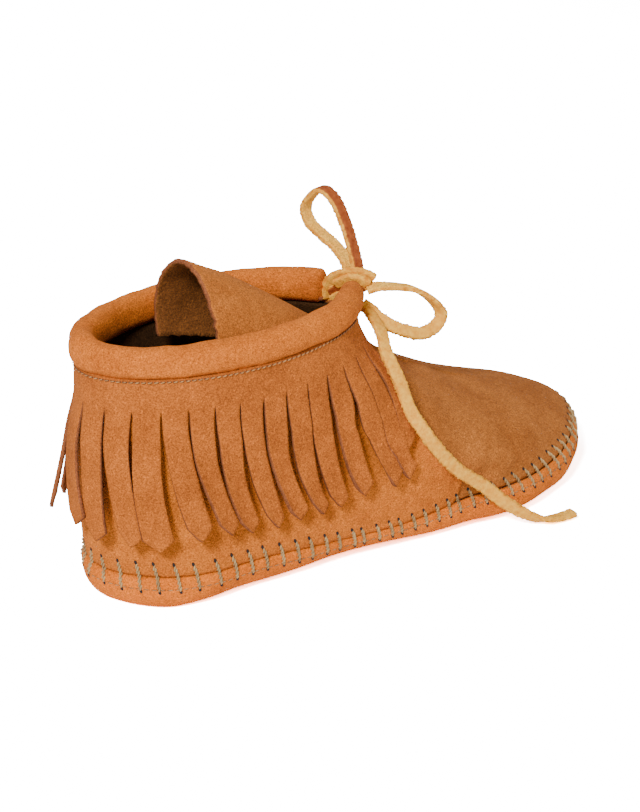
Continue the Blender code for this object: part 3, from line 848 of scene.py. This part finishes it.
# %% [markdown]
# The vamp wraps the toe and runs under the quarter; the quarter is a second layer that ends in a
# sloping front edge. They are two panels here, so the edge is a real step with its own raw rim.

# %% Vamp and quarter
VAMP_ROWS = 64
QUARTER_ACROSS = 300


def wall_top(drop):
    return 1.0 - drop / (COLLAR_HEIGHT - TOE_SEAM)


def upper_relief(point, rise):
    near_seam = smooth_step(0.0, 0.05, rise)
    slack = waves(point, 0.045, 0.0003, 5) * near_seam
    return crease_relief(point) * (0.25 + 0.75 * near_seam) + slack


def lip(rise):
    """Both edges of the seam draw in where the whip stitches pull them together."""
    return -0.0003 * (1 - smooth_step(0.0, 0.016, rise))


def vamp_point(turn, rise):
    point = skin(turn, rise)
    out = outward(skin, turn, rise)
    hidden = np.abs(turn) < edge_turn(rise) - 0.02
    lift = upper_relief(point, rise) + lip(rise) + np.where(hidden, -0.0002, 0.0)
    return point + out * lift[..., None]


def quarter_point(turn, rise):
    point = skin(turn, rise)
    out = outward(skin, turn, rise)
    front = smooth_step(0.0, 0.045, edge_turn(rise) - np.abs(turn))
    low = smooth_step(0.0, 0.14, rise)
    stand = LAP * (0.55 + 0.45 * low) * (0.82 + 0.18 * front) + 0.0001
    return point + out * (upper_relief(point, rise) + lip(rise) + stand)[..., None]


def build_vamp():
    bottom = 0.0015
    shares = np.linspace(0, 1, VAMP_ROWS + 1)[:, None]
    turn = whole_ring[None, :]
    rim = np.where(np.abs(turn) > edge_turn(1.0) - 0.03, wall_top(THROAT_DROP), wall_top(0.0016))
    rise = bottom + (rim - bottom) * shares
    mesh = grid_mesh("vamp", vamp_point(np.broadcast_to(turn, rise.shape), rise), round_way=True)
    return thicken(new_object("vamp", mesh, vamp_suede, inside_suede, inside_suede), WALL)


def build_quarter():
    rise = np.linspace(0.0015, wall_top(0.001), VAMP_ROWS + 1)[:, None]
    share = np.linspace(-1, 1, QUARTER_ACROSS + 1)[None, :]
    wavy = 0.012 * np.sin(rise * 21) + 0.008 * np.sin(rise * 47 + 1)
    turn = share * (edge_turn(rise) + wavy * np.minimum(1, rise * 4))
    mesh = grid_mesh("quarter", quarter_point(turn, np.broadcast_to(rise, turn.shape)))
    return thicken(new_object("quarter", mesh, outside_suede, flesh_side, cut_edge), LAP)


vamp = build_vamp()
finish_piece(vamp, "suede", "upper")
quarter = build_quarter()
finish_piece(quarter, "suede")

# %% [markdown]
# The collar is the top of the quarter folded over a soft filler into a fat roll. Its section is a
# flattened round that is pinched in at the stitch line, and lumps a little as it goes round.

# %% Collar roll
ROLL_STATIONS = 340
ROLL_SIDES = 40
ROLL_HEIGHT = 0.013
ROLL_THICK = 0.0105
FAR_END_SHORT = 0.075
NEAR_END_SAG = (0.0022, -0.0004, -0.0012)


def build_roll():
    end = float(edge_turn(1.0))
    turn = np.linspace(end, -end + FAR_END_SHORT, ROLL_STATIONS + 1)
    centre = skin(turn, 1.0)
    near_end = smooth_step(end - 0.5, end, turn)[:, None]
    centre = centre + near_end * np.array(NEAR_END_SAG)
    level_out = unit(outward(skin, turn, 1.0) * (1.0, 1.0, 0.0))
    run = np.concatenate([[0], np.cumsum(np.linalg.norm(np.diff(centre, axis=0), axis=1))])
    from_end = np.minimum(run, run[-1] - run)
    close = np.sqrt(1 - (1 - np.clip(from_end / 0.0026, 0.0, 1.0)) ** 2) * 0.985 + 0.015
    angle = np.linspace(0, 2 * math.pi, ROLL_SIDES, endpoint=False)
    across = np.cos(angle)
    up = np.sin(angle)
    squash = np.where(up < 0, 0.95, 1.0)
    pinch = 1 - 0.30 * smooth_step(-0.45, -1.0, up)
    inner_drop = -0.0014 * smooth_step(0.1, -0.7, up) * smooth_step(0.3, -0.3, across)
    out = ROLL_THICK / 2 * np.sign(across) * np.abs(across) ** 0.86 * pinch
    high = ROLL_HEIGHT / 2 * (up * squash) + inner_drop
    rise = 0.0003 + ROLL_HEIGHT / 2 * 0.86 + high * close[:, None]
    grid = (centre[:, None] + level_out[:, None] * (out * close[:, None] - 0.0003)[..., None]
            + np.array([0, 0, 1.0]) * rise[..., None])
    middle = grid.mean(axis=1, keepdims=True)
    lumps = waves(grid, 0.016, 0.00028, 11) + waves(grid, 0.006, 0.00008, 12)
    grid = grid + unit(grid - middle + 1e-9) * (lumps * close[:, None])[..., None]
    mesh = grid_mesh("roll", grid, round_way=True, caps=True)
    face_out(mesh)
    return new_object("collar_roll", mesh, roll_suede)


finish_piece(build_roll(), "suede", "collar")

# %% [markdown]
# The tongue is the end of the vamp, bent up through the throat and back over the opening. It is a
# bent sheet: one arch at each station, swept from its hidden front to its free end.

# %% Tongue
# Tongue from its free end to its hidden front end: place as a share of the collar's length,
# top as a share of the instep's height, half width and drop as shares of the collar's width,
# and how far round in degrees the sides wrap
TONGUE = table(
    "along top half drop wrap",
    (0.3855, 1.698, 0.330, 0.440, 108),
    (0.5268, 1.586, 0.325, 0.400, 104),
    (0.7046, 1.418, 0.310, 0.345, 98),
    (0.8395, 1.279, 0.275, 0.285, 91),
    (0.9530, 1.154, 0.230, 0.220, 80),
    (1.0151, 1.060, 0.205, 0.180, 70),
    (1.0708, 1.005, 0.190, 0.140, 62),
    (1.1201, 0.952, 0.175, 0.120, 56),
    (1.1843, 0.886, 0.160, 0.100, 50),
)
TONGUE_THICK = 0.0018
TONGUE_STATIONS = 90
TONGUE_ACROSS = 56


def build_tongue():
    stations = np.linspace(TONGUE["along"][0], TONGUE["along"][-1], TONGUE_STATIONS + 1)
    row = {name: read(TONGUE, name, stations)[:, None] for name in TONGUE}
    bend = np.radians(row["wrap"] * np.linspace(-1, 1, TONGUE_ACROSS + 1)[None, :])
    half = row["half"] * COLLAR_WIDTH
    drop = row["drop"] * COLLAR_WIDTH
    grid = np.stack([
        np.broadcast_to(stations[:, None] * COLLAR_LENGTH - HEEL_REST, bend.shape),
        half * np.sin(bend),
        row["top"] * INSTEP_HEIGHT - drop + drop * np.cos(bend),
    ], axis=-1)
    free = smooth_step(0.22, 0.0, stations[:, None] - stations[0]) * np.ones_like(bend)
    grid[..., 2] += waves(grid, 0.03, 0.0004, 21) * free
    grid[..., 1] += waves(grid, 0.025, 0.0005, 22) * free
    grid[0, :, 0] += random.normal(0, 0.00025, grid.shape[1])
    grid[:, (0, -1), 2] += random.normal(0, 0.0002, (len(grid), 2))
    mesh = grid_mesh("tongue", grid[:, ::-1])
    piece = new_object("tongue_flap", mesh, tongue_suede, flesh_side, cut_edge)
    middle = mesh.polygons[len(mesh.polygons) // 2 + TONGUE_ACROSS // 2]
    if middle.normal.z < 0:
        mesh.flip_normals()
    return thicken(piece, TONGUE_THICK)


finish_piece(build_tongue(), "suede", "tongue")

# %% [markdown]
# The insole is a thin pad that lies on the sole's floor, crowned a little, with its bare cover
# showing only far down in the opening.

# %% Insole
INSOLE_THICK = 0.003
INSOLE_INSET = 0.0013


def build_insole():
    outer = sole_skin(half_ring, 0.0)
    inner = sole_skin(-half_ring, 0.0)
    share = np.linspace(0, 1, 25)[:, None]
    way = outer - inner
    wide = np.linalg.norm(way, axis=1, keepdims=True)
    inset = np.minimum(INSOLE_INSET, wide * 0.45)
    start = outer - way / np.maximum(wide, 1e-9) * inset
    stop = inner + way / np.maximum(wide, 1e-9) * inset
    grid = start[None] * (1 - share[:, :, None]) + stop[None] * share[:, :, None]
    keep = (half_ring > 0.12) & (half_ring < math.pi - 0.12)
    grid = grid[:, keep]
    crown = (np.sin(math.pi * share) ** 0.3) * np.ones(grid.shape[1])
    grid[..., 2] += SOLE_WALL + 0.0003 + INSOLE_THICK * (0.9 + 0.1 * crown)
    mesh = grid_mesh("insole", grid)
    if mesh.polygons[len(mesh.polygons) // 2].normal.z < 0:
        mesh.flip_normals()
    return thicken(new_object("insole_pad", mesh, insole_cover, insole_cover, insole_cover),
                   INSOLE_THICK * 0.9)


finish_piece(build_insole(), "suede_inside", "insole")

# %% [markdown]
# The fringe is one band of suede under the roll, cut into strips with pointed ends. On the real
# boot no two strips hang alike: they splay, lift, twist and cup. So each strip is laid out flat
# first, and its own row of numbers then sways, lifts and twists it as it hangs down.

# %% How each strip hangs
STRIPS = 28
BAND_TOP = -0.0018
BAND_HEIGHT = 0.011
STRIP_LENGTH = 0.055
STRIP_POINT = 0.0055
POINT_SHARE = 0.58
FRINGE_THICK = 0.0014
FRINGE_STAND = 0.0017
HEEL_FLARE = 0.004
SIDE_FLARE = 0.001
FRINGE_SET_BACK = math.radians(4)
GAP = 0.0003
STRIP_LENGTHS = table(
    "turn length",
    (0.00, 0.83),
    (0.10, 0.87),
    (0.20, 0.93),
    (0.55, 0.95),
    (0.70, 0.93),
    (0.80, 0.88),
    (0.88, 0.84),
    (1.00, 0.83),
)
FALL = COLLAR_HEIGHT - BALL_SEAM

# strip counted from the outer front edge round the heel to the inner front edge; sway towards
# the front, lift off the wall and longer, in millimetres; twist in degrees
HANG = table(
    "strip sway lift twist longer",
    (0, 2.5, 0.0, 0, -9.0),
    (1, 12.0, 0.3, 4, -0.3),
    (2, 15.0, 1.6, 6, -2.7),
    (3, 11.4, 0.8, 6, -3.7),
    (4, 9.6, 0.2, 2, -2.1),
    (5, 10.6, 1.6, 8, -0.7),
    (6, 9.9, 0.7, 5, -0.2),
    (7, 9.2, 1.0, 5, 0.2),
    (8, 8.6, 0.8, 7, 0.8),
    (9, 8.1, 1.1, 8, -0.5),
    (10, 8.2, 1.6, 10, -1.6),
    (11, 5.2, 2.2, 10, 1.3),
    (12, 6.4, 1.4, -12, 1.1),
    (13, 5.6, 2.2, -14, 2.9),
    (14, -7.1, 1.6, -14, 1.0),
    (15, -2.0, 2.6, -10, 0.0),
    (16, 2.0, 2.0, 8, 0.5),
    (17, 3.5, 1.4, -8, 0.0),
    (18, 5.0, 1.0, 6, -1.0),
    (19, 4.2, 1.6, -10, 0.6),
    (20, 6.0, 0.8, 6, 0.0),
    (21, 7.4, 1.2, 5, -0.5),
    (22, 6.6, 0.6, -6, 0.4),
    (23, 8.0, 1.0, 4, 0.0),
    (24, 7.0, 0.7, -5, 0.0),
    (25, 7.6, 1.0, 6, -0.6),
    (26, 6.0, 0.6, -4, 0.0),
    (27, 3.0, 0.2, 3, -6.0),
)
STRIP_ACROSS = 12
STRIP_DOWN = 40
BAND_DOWN = 8


class Runs:
    """How long the way is round each slice, so that a strip keeps its width as it hangs."""

    def __init__(self):
        self.turns = np.linspace(0, math.pi, 121)
        self.rises = np.linspace(0.0, 1.0, 26)
        self.sides = []
        for side in (1, -1):
            points = skin(side * self.turns[None, :], self.rises[:, None])
            steps = np.linalg.norm(np.diff(points, axis=1), axis=2)
            self.sides.append(np.hstack([np.zeros((len(self.rises), 1)), np.cumsum(steps, axis=1)]))

    def turn(self, reach, rise):
        """The turn at this reach from the back, + on the outer side, at this rise."""
        side = self.sides[0] if reach >= 0 else self.sides[1]
        place = min(max(rise, 0.0), 1.0) * (len(self.rises) - 1)
        low = min(int(place), len(self.rises) - 2)
        runs = side[low] + (side[low + 1] - side[low]) * (place - low)
        return math.copysign(float(np.interp(abs(reach), runs, self.turns)), reach)


runs = Runs()


def strip_edges():
    """Reach of each cut round the collar, from the outer front edge to the inner one."""
    end = float(edge_turn(1.0)) - FRINGE_SET_BACK
    reach = [float(np.interp(end, runs.turns, side[-1])) for side in runs.sides]
    return np.linspace(reach[0], -reach[1], STRIPS + 1)


def hanging_grid(k, edges):
    """Turn, rise and stand-off of one strip's points, from the band down to its cut point."""
    row = {name: float(HANG[name][k]) for name in HANG}
    start, end = edges[k], edges[k + 1]
    forward = 1 if start + end > 0 else -1
    point_share = 1 - POINT_SHARE if forward > 0 else POINT_SHARE
    downs = [BAND_TOP + (BAND_HEIGHT - BAND_TOP) * i / BAND_DOWN for i in range(BAND_DOWN)]
    phase = k * 2.399
    middle_turn = abs(runs.turn((start + end) / 2, 1.0))
    length = STRIP_LENGTH * float(read(STRIP_LENGTHS, "length", middle_turn / math.pi))
    columns = []
    for c in range(STRIP_ACROSS + 1):
        share = c / STRIP_ACROSS
        away = abs(share - point_share) / max(point_share, 1 - point_share)
        whole = length + row["longer"] / 1000 - STRIP_POINT * away
        column = [(start + (end - start) * share, down, 0.0) for down in downs]
        for i in range(STRIP_DOWN + 1):
            hang = i / STRIP_DOWN
            down = BAND_HEIGHT + whole * hang
            slit = 0.0004 * min(1.0, hang * 12) + 0.0005 * hang
            reach = start + (end - start) * share
            reach += slit * (1 - 2 * share) * math.copysign(1, end - start)
            reach += forward * row["sway"] / 1000 * hang ** 2.1
            reach += 0.0003 * math.sin(5.2 * hang + phase) * min(1, hang * 3)
            twist = math.tan(math.radians(row["twist"])) * (share - 0.5)
            twist *= (end - start) * hang ** 1.3
            cup = -0.0007 * (1 - (2 * share - 1) ** 2) * math.sin(phase) * hang
            bow = 0.0006 * math.sin(3.4 * hang + phase * 1.7) * hang
            out = row["lift"] / 1000 * hang ** 1.6 + abs(twist) * 0.35 - twist + cup + bow
            column.append((reach, down, out))
        columns.append(column)
    return columns


def fringe_place(reach, down, out):
    rise = 1 - down / FALL
    turn = runs.turn(reach, rise)
    hang = max(down - BAND_HEIGHT, 0) / STRIP_LENGTH
    flare = HEEL_FLARE * float(smooth_step(0.75, 0.0, abs(turn) / math.pi)) + SIDE_FLARE
    stand = GAP + FRINGE_STAND * float(smooth_step(0.0, 0.3, hang)) + FRINGE_THICK
    return turn, rise, LAP + stand + flare * hang**1.5 + max(out, -0.0006)


def build_fringe():
    edges = strip_edges()
    work = bmesh.new()
    for k in range(STRIPS):
        columns = hanging_grid(k, edges)
        places = np.array([[fringe_place(*spot) for spot in column] for column in columns])
        turn, rise, stand = np.moveaxis(places, 2, 0)
        grid = skin(turn, rise) + outward(skin, turn, rise) * stand[..., None]
        rows = [[work.verts.new(point) for point in column] for column in grid]
        for left, right in zip(rows, rows[1:]):
            for i in range(len(left) - 1):
                work.faces.new((left[i], left[i + 1], right[i + 1], right[i]))
    bmesh.ops.remove_doubles(work, verts=work.verts, dist=1e-5)
    mesh = bpy.data.meshes.new("fringe")
    bmesh.ops.recalc_face_normals(work, faces=work.faces)
    first = min(work.faces, key=lambda face: face.calc_center_median().x)
    if first.normal.x > 0:
        bmesh.ops.reverse_faces(work, faces=work.faces)
    work.to_mesh(mesh)
    work.free()
    mesh.shade_smooth()
    piece = new_object("fringe_band", mesh, fringe_suede, flesh_side, cut_edge)
    return thicken(piece, FRINGE_THICK)


finish_piece(build_fringe(), "suede", "fringe")

# %% [markdown]
# The whip stitches that join sole and upper are a waxed double thread, twisted, that comes out of
# one hole, lies over the seam and goes into the next. A tree takes one short line for each stitch,
# sweeps two strands along it and turns them about each other with the curve's tilt.

# %% Thread sweep tree
THREAD_ROUND = 8
THREAD_STEPS = 22


def put_painted(tree, geometry, finish, socket):
    """Sends geometry to the tree's output with its material."""
    paint = add_node(tree, "GeometryNodeSetMaterial", {"Geometry": geometry, "Material": finish})
    join(tree, paint.outputs["Geometry"], socket)


def build_thread_tree():
    tree, given, put = group_tree(
        "twisted thread", "GeometryNodeTree",
        [("Lines", "NodeSocketGeometry", None), ("Strand Radius", "NodeSocketFloat", 0.0005),
         ("Strand Spread", "NodeSocketFloat", 0.00042), ("Turns", "NodeSocketFloat", 2.5),
         ("Thread", "NodeSocketMaterial", None)],
        [("Stitches", "NodeSocketGeometry")])
    fine = add_node(tree, "GeometryNodeResampleCurve", {
        "Curve": given.outputs["Lines"], "Count": THREAD_STEPS})
    place = tree.nodes.new("GeometryNodeSplineParameter").outputs["Factor"]
    twist = times(tree, times(tree, place, given.outputs["Turns"]), 2 * math.pi)
    tilt = add_node(tree, "GeometryNodeSetCurveTilt", {
        "Curve": fine.outputs["Curve"], "Tilt": twist})
    both = tree.nodes.new("GeometryNodeJoinGeometry")
    for side in (1, -1):
        ring = add_node(tree, "GeometryNodeCurvePrimitiveCircle", {
            "Resolution": THREAD_ROUND, "Radius": given.outputs["Strand Radius"]})
        aside = add_node(tree, "ShaderNodeCombineXYZ", {
            "X": times(tree, given.outputs["Strand Spread"], side)})
        moved = add_node(tree, "GeometryNodeTransform", {
            "Geometry": ring.outputs["Curve"], "Translation": aside.outputs["Vector"]})
        join(tree, moved.outputs["Geometry"], both.inputs["Geometry"])
    sweep = add_node(tree, "GeometryNodeCurveToMesh", {
        "Fill Caps": True, "Curve": tilt.outputs["Curve"],
        "Profile Curve": both.outputs["Geometry"]})
    real = add_node(tree, "GeometryNodeRealizeInstances", {"Geometry": sweep.outputs["Mesh"]})
    put_painted(tree, real.outputs["Geometry"], given.outputs["Thread"], put.inputs["Stitches"])
    return tree


# %% Spot tree: one small mesh at each point, turned to the surface
def build_spot_tree():
    tree, given, put = group_tree(
        "set in a row", "GeometryNodeTree",
        [("Points", "NodeSocketGeometry", None), ("Length", "NodeSocketFloat", 0.0016),
         ("Width", "NodeSocketFloat", 0.0006), ("Height", "NodeSocketFloat", 0.0005),
         ("Slant", "NodeSocketFloat", 0.0), ("Finish", "NodeSocketMaterial", None)],
        [("Row", "NodeSocketGeometry")])
    ball = add_node(tree, "GeometryNodeMeshUVSphere", {"Segments": 10, "Rings": 6, "Radius": 0.5})
    out, way = [
        add_node(tree, "GeometryNodeInputNamedAttribute", {"Name": name}, data_type="FLOAT_VECTOR")
        for name in ("out", "way")]
    turn = add_node(tree, "FunctionNodeAxesToRotation", {
        "Primary Axis": out.outputs["Attribute"], "Secondary Axis": way.outputs["Attribute"],
    }, primary_axis="Z", secondary_axis="X")
    lean = add_node(tree, "ShaderNodeCombineXYZ", {"Z": given.outputs["Slant"]})
    turned = add_node(tree, "FunctionNodeRotateRotation", {
        "Rotation": turn.outputs["Rotation"], "Rotate By": lean.outputs["Vector"],
    }, rotation_space="LOCAL")
    size = add_node(tree, "ShaderNodeCombineXYZ", {
        "X": given.outputs["Length"], "Y": given.outputs["Width"], "Z": given.outputs["Height"]})
    place = add_node(tree, "GeometryNodeInstanceOnPoints", {
        "Points": given.outputs["Points"], "Instance": ball.outputs["Mesh"],
        "Rotation": turned.outputs["Rotation"], "Scale": size.outputs["Vector"]})
    real = add_node(tree, "GeometryNodeRealizeInstances", {
        "Geometry": place.outputs["Instances"]})
    smooth = add_node(tree, "GeometryNodeSetShadeSmooth", {"Geometry": real.outputs["Geometry"]})
    put_painted(tree, smooth.outputs["Geometry"], given.outputs["Finish"], put.inputs["Row"])
    return tree


thread_tree = build_thread_tree()
spot_tree = build_spot_tree()


def run_tree(piece, tree, **sizes):
    """Sets a tree's inputs by each socket's identifier, and works the result into a mesh."""
    modifier = piece.modifiers.new("make", "NODES")
    modifier.node_group = tree
    names = {item.name.replace(" ", "_").lower(): item.identifier
             for item in tree.interface.items_tree if item.in_out == "INPUT"}
    for key, value in sizes.items():
        modifier[names[key]] = value
    return bake(piece)


# %% [markdown]
# The stitches are 6 to 7 mm apart. They are 9 mm long round the heel, shorter at the waist, and
# 8 mm along the forepart, and they cross the seam from the upper's wall down to the sole's.

# %% Whip stitches
STITCH_STEP = 0.0065
STITCHES = table(
    "along above below slant pitch",
    (0.00, 5.4, 5.0, 1.2, 1.12),
    (0.12, 5.2, 5.2, 0.9, 1.12),
    (0.30, 4.4, 4.6, 0.5, 1.04),
    (0.48, 2.6, 3.2, 0.1, 0.86),
    (0.58, 3.2, 3.6, 0.0, 0.86),
    (0.70, 4.2, 3.6, 0.6, 0.95),
    (0.85, 4.6, 3.8, 0.6, 1.00),
    (1.00, 4.6, 3.8, 0.0, 1.00),
)


def seam_surface(turn, above):
    """The boot's outer face at a height above the seam in metres, and its outward direction."""
    rise = np.clip(above / FALL, 0.0, 0.3)
    on_quarter = np.abs(turn) < edge_turn(rise)
    upper = np.where(on_quarter[..., None], quarter_point(turn, rise), vamp_point(turn, rise))
    upper_out = outward(skin, turn, rise)
    height = seam_height((1 - np.cos(turn)) / 2)
    level = np.clip(1 + above / height * 2 / math.pi, 0.05, 1.0)
    lower = sole_outer(turn, level)
    lower_out = outward(sole_skin, turn, np.minimum(level, 0.985))
    high = (above > 0)[..., None]
    out = unit(upper_out * smooth_step(-0.003, 0.003, above)[..., None]
               + lower_out * (1 - smooth_step(-0.003, 0.003, above))[..., None])
    return np.where(high, upper, lower), out


def seam_places(pitch, start=0.0):
    """Turns along the whole seam, each pitch stretched by its row of the table."""
    turns = np.linspace(-math.pi, math.pi, 1601)
    line = skin(turns, 0.0)
    steps = np.linalg.norm(np.diff(line, axis=0), axis=1)
    along = (1 - np.cos((turns[1:] + turns[:-1]) / 2)) / 2
    run = np.concatenate([[0], np.cumsum(steps / read(STITCHES, "pitch", along))])
    count = int(round(run[-1] / pitch))
    return np.interp((np.arange(count) + start) * run[-1] / count, run, turns)


def line_curves(name, lines):
    """One poly spline for each line of points."""
    curve = bpy.data.curves.new(name, "CURVE")
    curve.dimensions = "3D"
    for points in lines:
        spline = curve.splines.new("POLY")
        spline.points.add(len(points) - 1)
        for spot, point in zip(spline.points, points):
            spot.co = (*map(float, point), 1.0)
    return new_object(name, curve)


def thread_finish(name, light, dark, rough=0.62):
    finish, tree, shader = new_finish(name)
    place = object_place(tree)
    fibre = spread(tree, noise(tree, place, 2400, 3, 0.6), 0.3, 0.7)
    patch = spread(tree, noise(tree, place, 130, 2, 0.5), 0.3, 0.7, 0.0, 0.5)
    share = plus(tree, times(tree, fibre, 0.6), patch)
    join(tree, blend_colour(tree, share, light, dark), shader.inputs["Base Color"])
    give_relief(tree, shader, fibre, 0.0002, 1.0)
    shader.inputs["Roughness"].default_value = rough
    return finish


thread = thread_finish("waxed_thread", linear(214, 178, 118), linear(132, 98, 58))
row_thread = thread_finish("row_thread", linear(206, 150, 86), linear(112, 68, 34))
# Needle holes and dips are painted shade: dark spots where a hole or dimple would lie in shadow.
hole_painted_shade = thread_finish("needle_hole", linear(46, 26, 14), linear(20, 11, 6), 0.95)
dip_shade = thread_finish("needle_dip", linear(120, 70, 34), linear(70, 38, 18), 0.95)

stitch_turns = seam_places(STITCH_STEP, 0.35)
fraction = np.linspace(0, 1, 13)
lines = []
holes = []
for turn in stitch_turns:
    along = (1 - math.cos(turn)) / 2
    above = float(read(STITCHES, "above", along)) / 1000
    below = float(read(STITCHES, "below", along)) / 1000
    slant = float(read(STITCHES, "slant", along)) / 1000 / 0.05 * np.sign(turn)
    above *= random.uniform(0.94, 1.06)
    below *= random.uniform(0.94, 1.06)
    heights = above - (above + below) * fraction
    places = turn + slant * (fraction - 0.5) + random.normal(0, 0.004)
    points, out = seam_surface(places, heights)
    ease = np.sin(math.pi * fraction) ** 0.45
    lines.append(points + out * (-0.0006 + 0.00105 * ease)[:, None])
    way = unit(points[1] - points[0])
    for end, toward in ((0, -1), (-1, 1)):
        holes.append((points[end] + out[end] * 0.00005 + way * 0.0003 * toward, way, out[end]))

stitches = run_tree(line_curves("whip_stitches", lines), thread_tree,
                    strand_radius=0.00044, strand_spread=0.00038, turns=3.0, thread=thread)


def point_row(name, places):
    """A mesh of points only, each with the way it lies and the direction it faces."""
    mesh = bpy.data.meshes.new(name)
    mesh.from_pydata([tuple(map(float, place[0])) for place in places], [], [])
    for key, i in (("way", 1), ("out", 2)):
        data = mesh.attributes.new(key, "FLOAT_VECTOR", "POINT")
        data.data.foreach_set("vector", np.array([place[i] for place in places], float).ravel())
    return new_object(name, mesh)


# Dark spots at both ends of each stitch: painted shade in the needle holes.
hole_row = run_tree(point_row("stitch_holes", holes), spot_tree,
                    length=0.0021, width=0.00125, height=0.0004, slant=0.0, finish=hole_painted_shade)
for piece in (stitches, hole_row):
    finish_piece(piece, "suede")

# %% [markdown]
# Two rows of machine stitches show: one tight slanted row in the pinch under the roll, and a
# finer one along the lower ends of the whip stitches. Both come from the same tree as the holes.

# %% Machine stitches
def row_places(points, out, pitch, lift):
    """Spots at an even spacing along a line of points, with the way of the line and its out."""
    run = np.concatenate([[0], np.cumsum(np.linalg.norm(np.diff(points, axis=0), axis=1))])
    at = np.arange(pitch / 2, run[-1], pitch)
    spot = np.stack([np.interp(at, run, column) for column in points.T], axis=1)
    facing = unit(np.stack([np.interp(at, run, column) for column in out.T], axis=1))
    way = unit(np.gradient(spot, axis=0))
    return [(s + f * lift, w, f) for s, w, f in zip(spot, way, facing)]


end = float(edge_turn(1.0)) - 0.03
turns = np.linspace(end, -end, 700)
stitch_rise = 1 - 0.0001 / FALL
top_out = outward(skin, turns, stitch_rise)
under_roll = skin(turns, stitch_rise) + top_out * (LAP + GAP + FRINGE_THICK + 0.0001)
turns = np.linspace(-math.pi, math.pi, 1800)
low = -read(STITCHES, "below", (1 - np.cos(turns)) / 2) / 1000 + 0.0006
low_points, low_out = seam_surface(turns, low)
# name, line with its out, pitch, lift, then each spot's length, width, height, slant and finish
roll_line = (under_roll, top_out)
sole_line = (low_points, low_out)
# The roll's dip spots are painted shade: darker dimples between its stitches in the pinch.
for name, line, pitch, lift, long, wide, high, slant, finish in (
    ("roll_stitches", roll_line, 0.0023, 0.0004, 0.0017, 0.00055, 0.0005, 0.3, row_thread),
    ("roll_stitch_dips", roll_line, 0.00115, 0.0, 0.0009, 0.0007, 0.0003, 0.0, dip_shade),
    ("sole_stitches", sole_line, 0.0030, 0.0001, 0.0019, 0.00045, 0.00035, 0.1, row_thread),
    ("sole_stitch_dips", sole_line, 0.0015, 0.0, 0.0011, 0.00045, 0.00018, 0.1, cut_edge),
):
    row = point_row(name, row_places(*line, pitch, lift))
    finish_piece(run_tree(row, spot_tree, length=long, width=wide, height=high,
                          slant=slant, finish=finish), "suede")

# %% [markdown]
# The boot stands on a plain pale floor: one lamp high on the left draws the shadows between the
# strips, wide weak lamps fill from the right and the back, and an even surround softens them.
# The camera is shown plain white for floor and surround, so the shadow under the sole stays pale.

# %% Floor and light
SEEN_WHITE = 16.0
SURROUND = 0.37
FLOOR_GLOW = 0.2
FLOOR_HALF = 4.0


def camera_sees(tree, real, shown, output):
    """One surface lights the boot, and the camera is shown another."""
    seen = tree.nodes.new("ShaderNodeLightPath")
    either = add_node(tree, "ShaderNodeMixShader", {
        0: seen.outputs["Is Camera Ray"], 1: real.outputs[0], 2: shown.outputs[0]})
    join(tree, either.outputs[0], tree.nodes[output].inputs["Surface"])


floor_mesh = bpy.data.meshes.new("floor")
corners = [(x * FLOOR_HALF, y * FLOOR_HALF, 0.0) for x, y in ((-1, -1), (1, -1), (1, 1), (-1, 1))]
floor_mesh.from_pydata(corners, [], [(0, 1, 2, 3)])
floor_paint, tree, shader = new_finish("floor_paint")
for key, value in (("Base Color", (0.9, 0.9, 0.9, 1)), ("Roughness", 0.9),
                   ("Specular IOR Level", 0.0), ("Emission Color", (1.0, 1.0, 1.0, 1)),
                   ("Emission Strength", FLOOR_GLOW)):
    shader.inputs[key].default_value = value
bright = add_node(tree, "ShaderNodeBsdfDiffuse", {"Color": (SEEN_WHITE, SEEN_WHITE, SEEN_WHITE, 1)})
camera_sees(tree, shader, bright, "Material Output")
floor = new_object("floor", floor_mesh, floor_paint)

world = bpy.data.worlds.new("surround")
world.use_nodes = True
tree = world.node_tree
around = tree.nodes["Background"]
around.inputs["Color"].default_value = (1.0, 1.0, 1.0, 1)
around.inputs["Strength"].default_value = SURROUND
plain = add_node(tree, "ShaderNodeBackground", {"Strength": SEEN_WHITE})
camera_sees(tree, around, plain, "World Output")
bpy.context.scene.world = world

for name, place, aim, size, power in (
    ("key", (-1.15, -0.85, 1.25), (0.08, 0, 0.04), 0.34, 54),
    ("fill", (0.9, -1.1, 0.9), (0.08, 0, 0.04), 1.2, 9),
    ("back", (0.2, 1.3, 1.1), (0.08, 0, 0.06), 1.0, 8),
):
    data = bpy.data.lights.new(name, "AREA")
    data.shape = "DISK"
    data.size = size
    data.energy = power
    light = bpy.data.objects.new(name, data)
    light.location = place
    light.rotation_euler = (Vector(aim) - Vector(place)).to_track_quat("-Z", "Y").to_euler()
    bpy.context.scene.collection.objects.link(light)
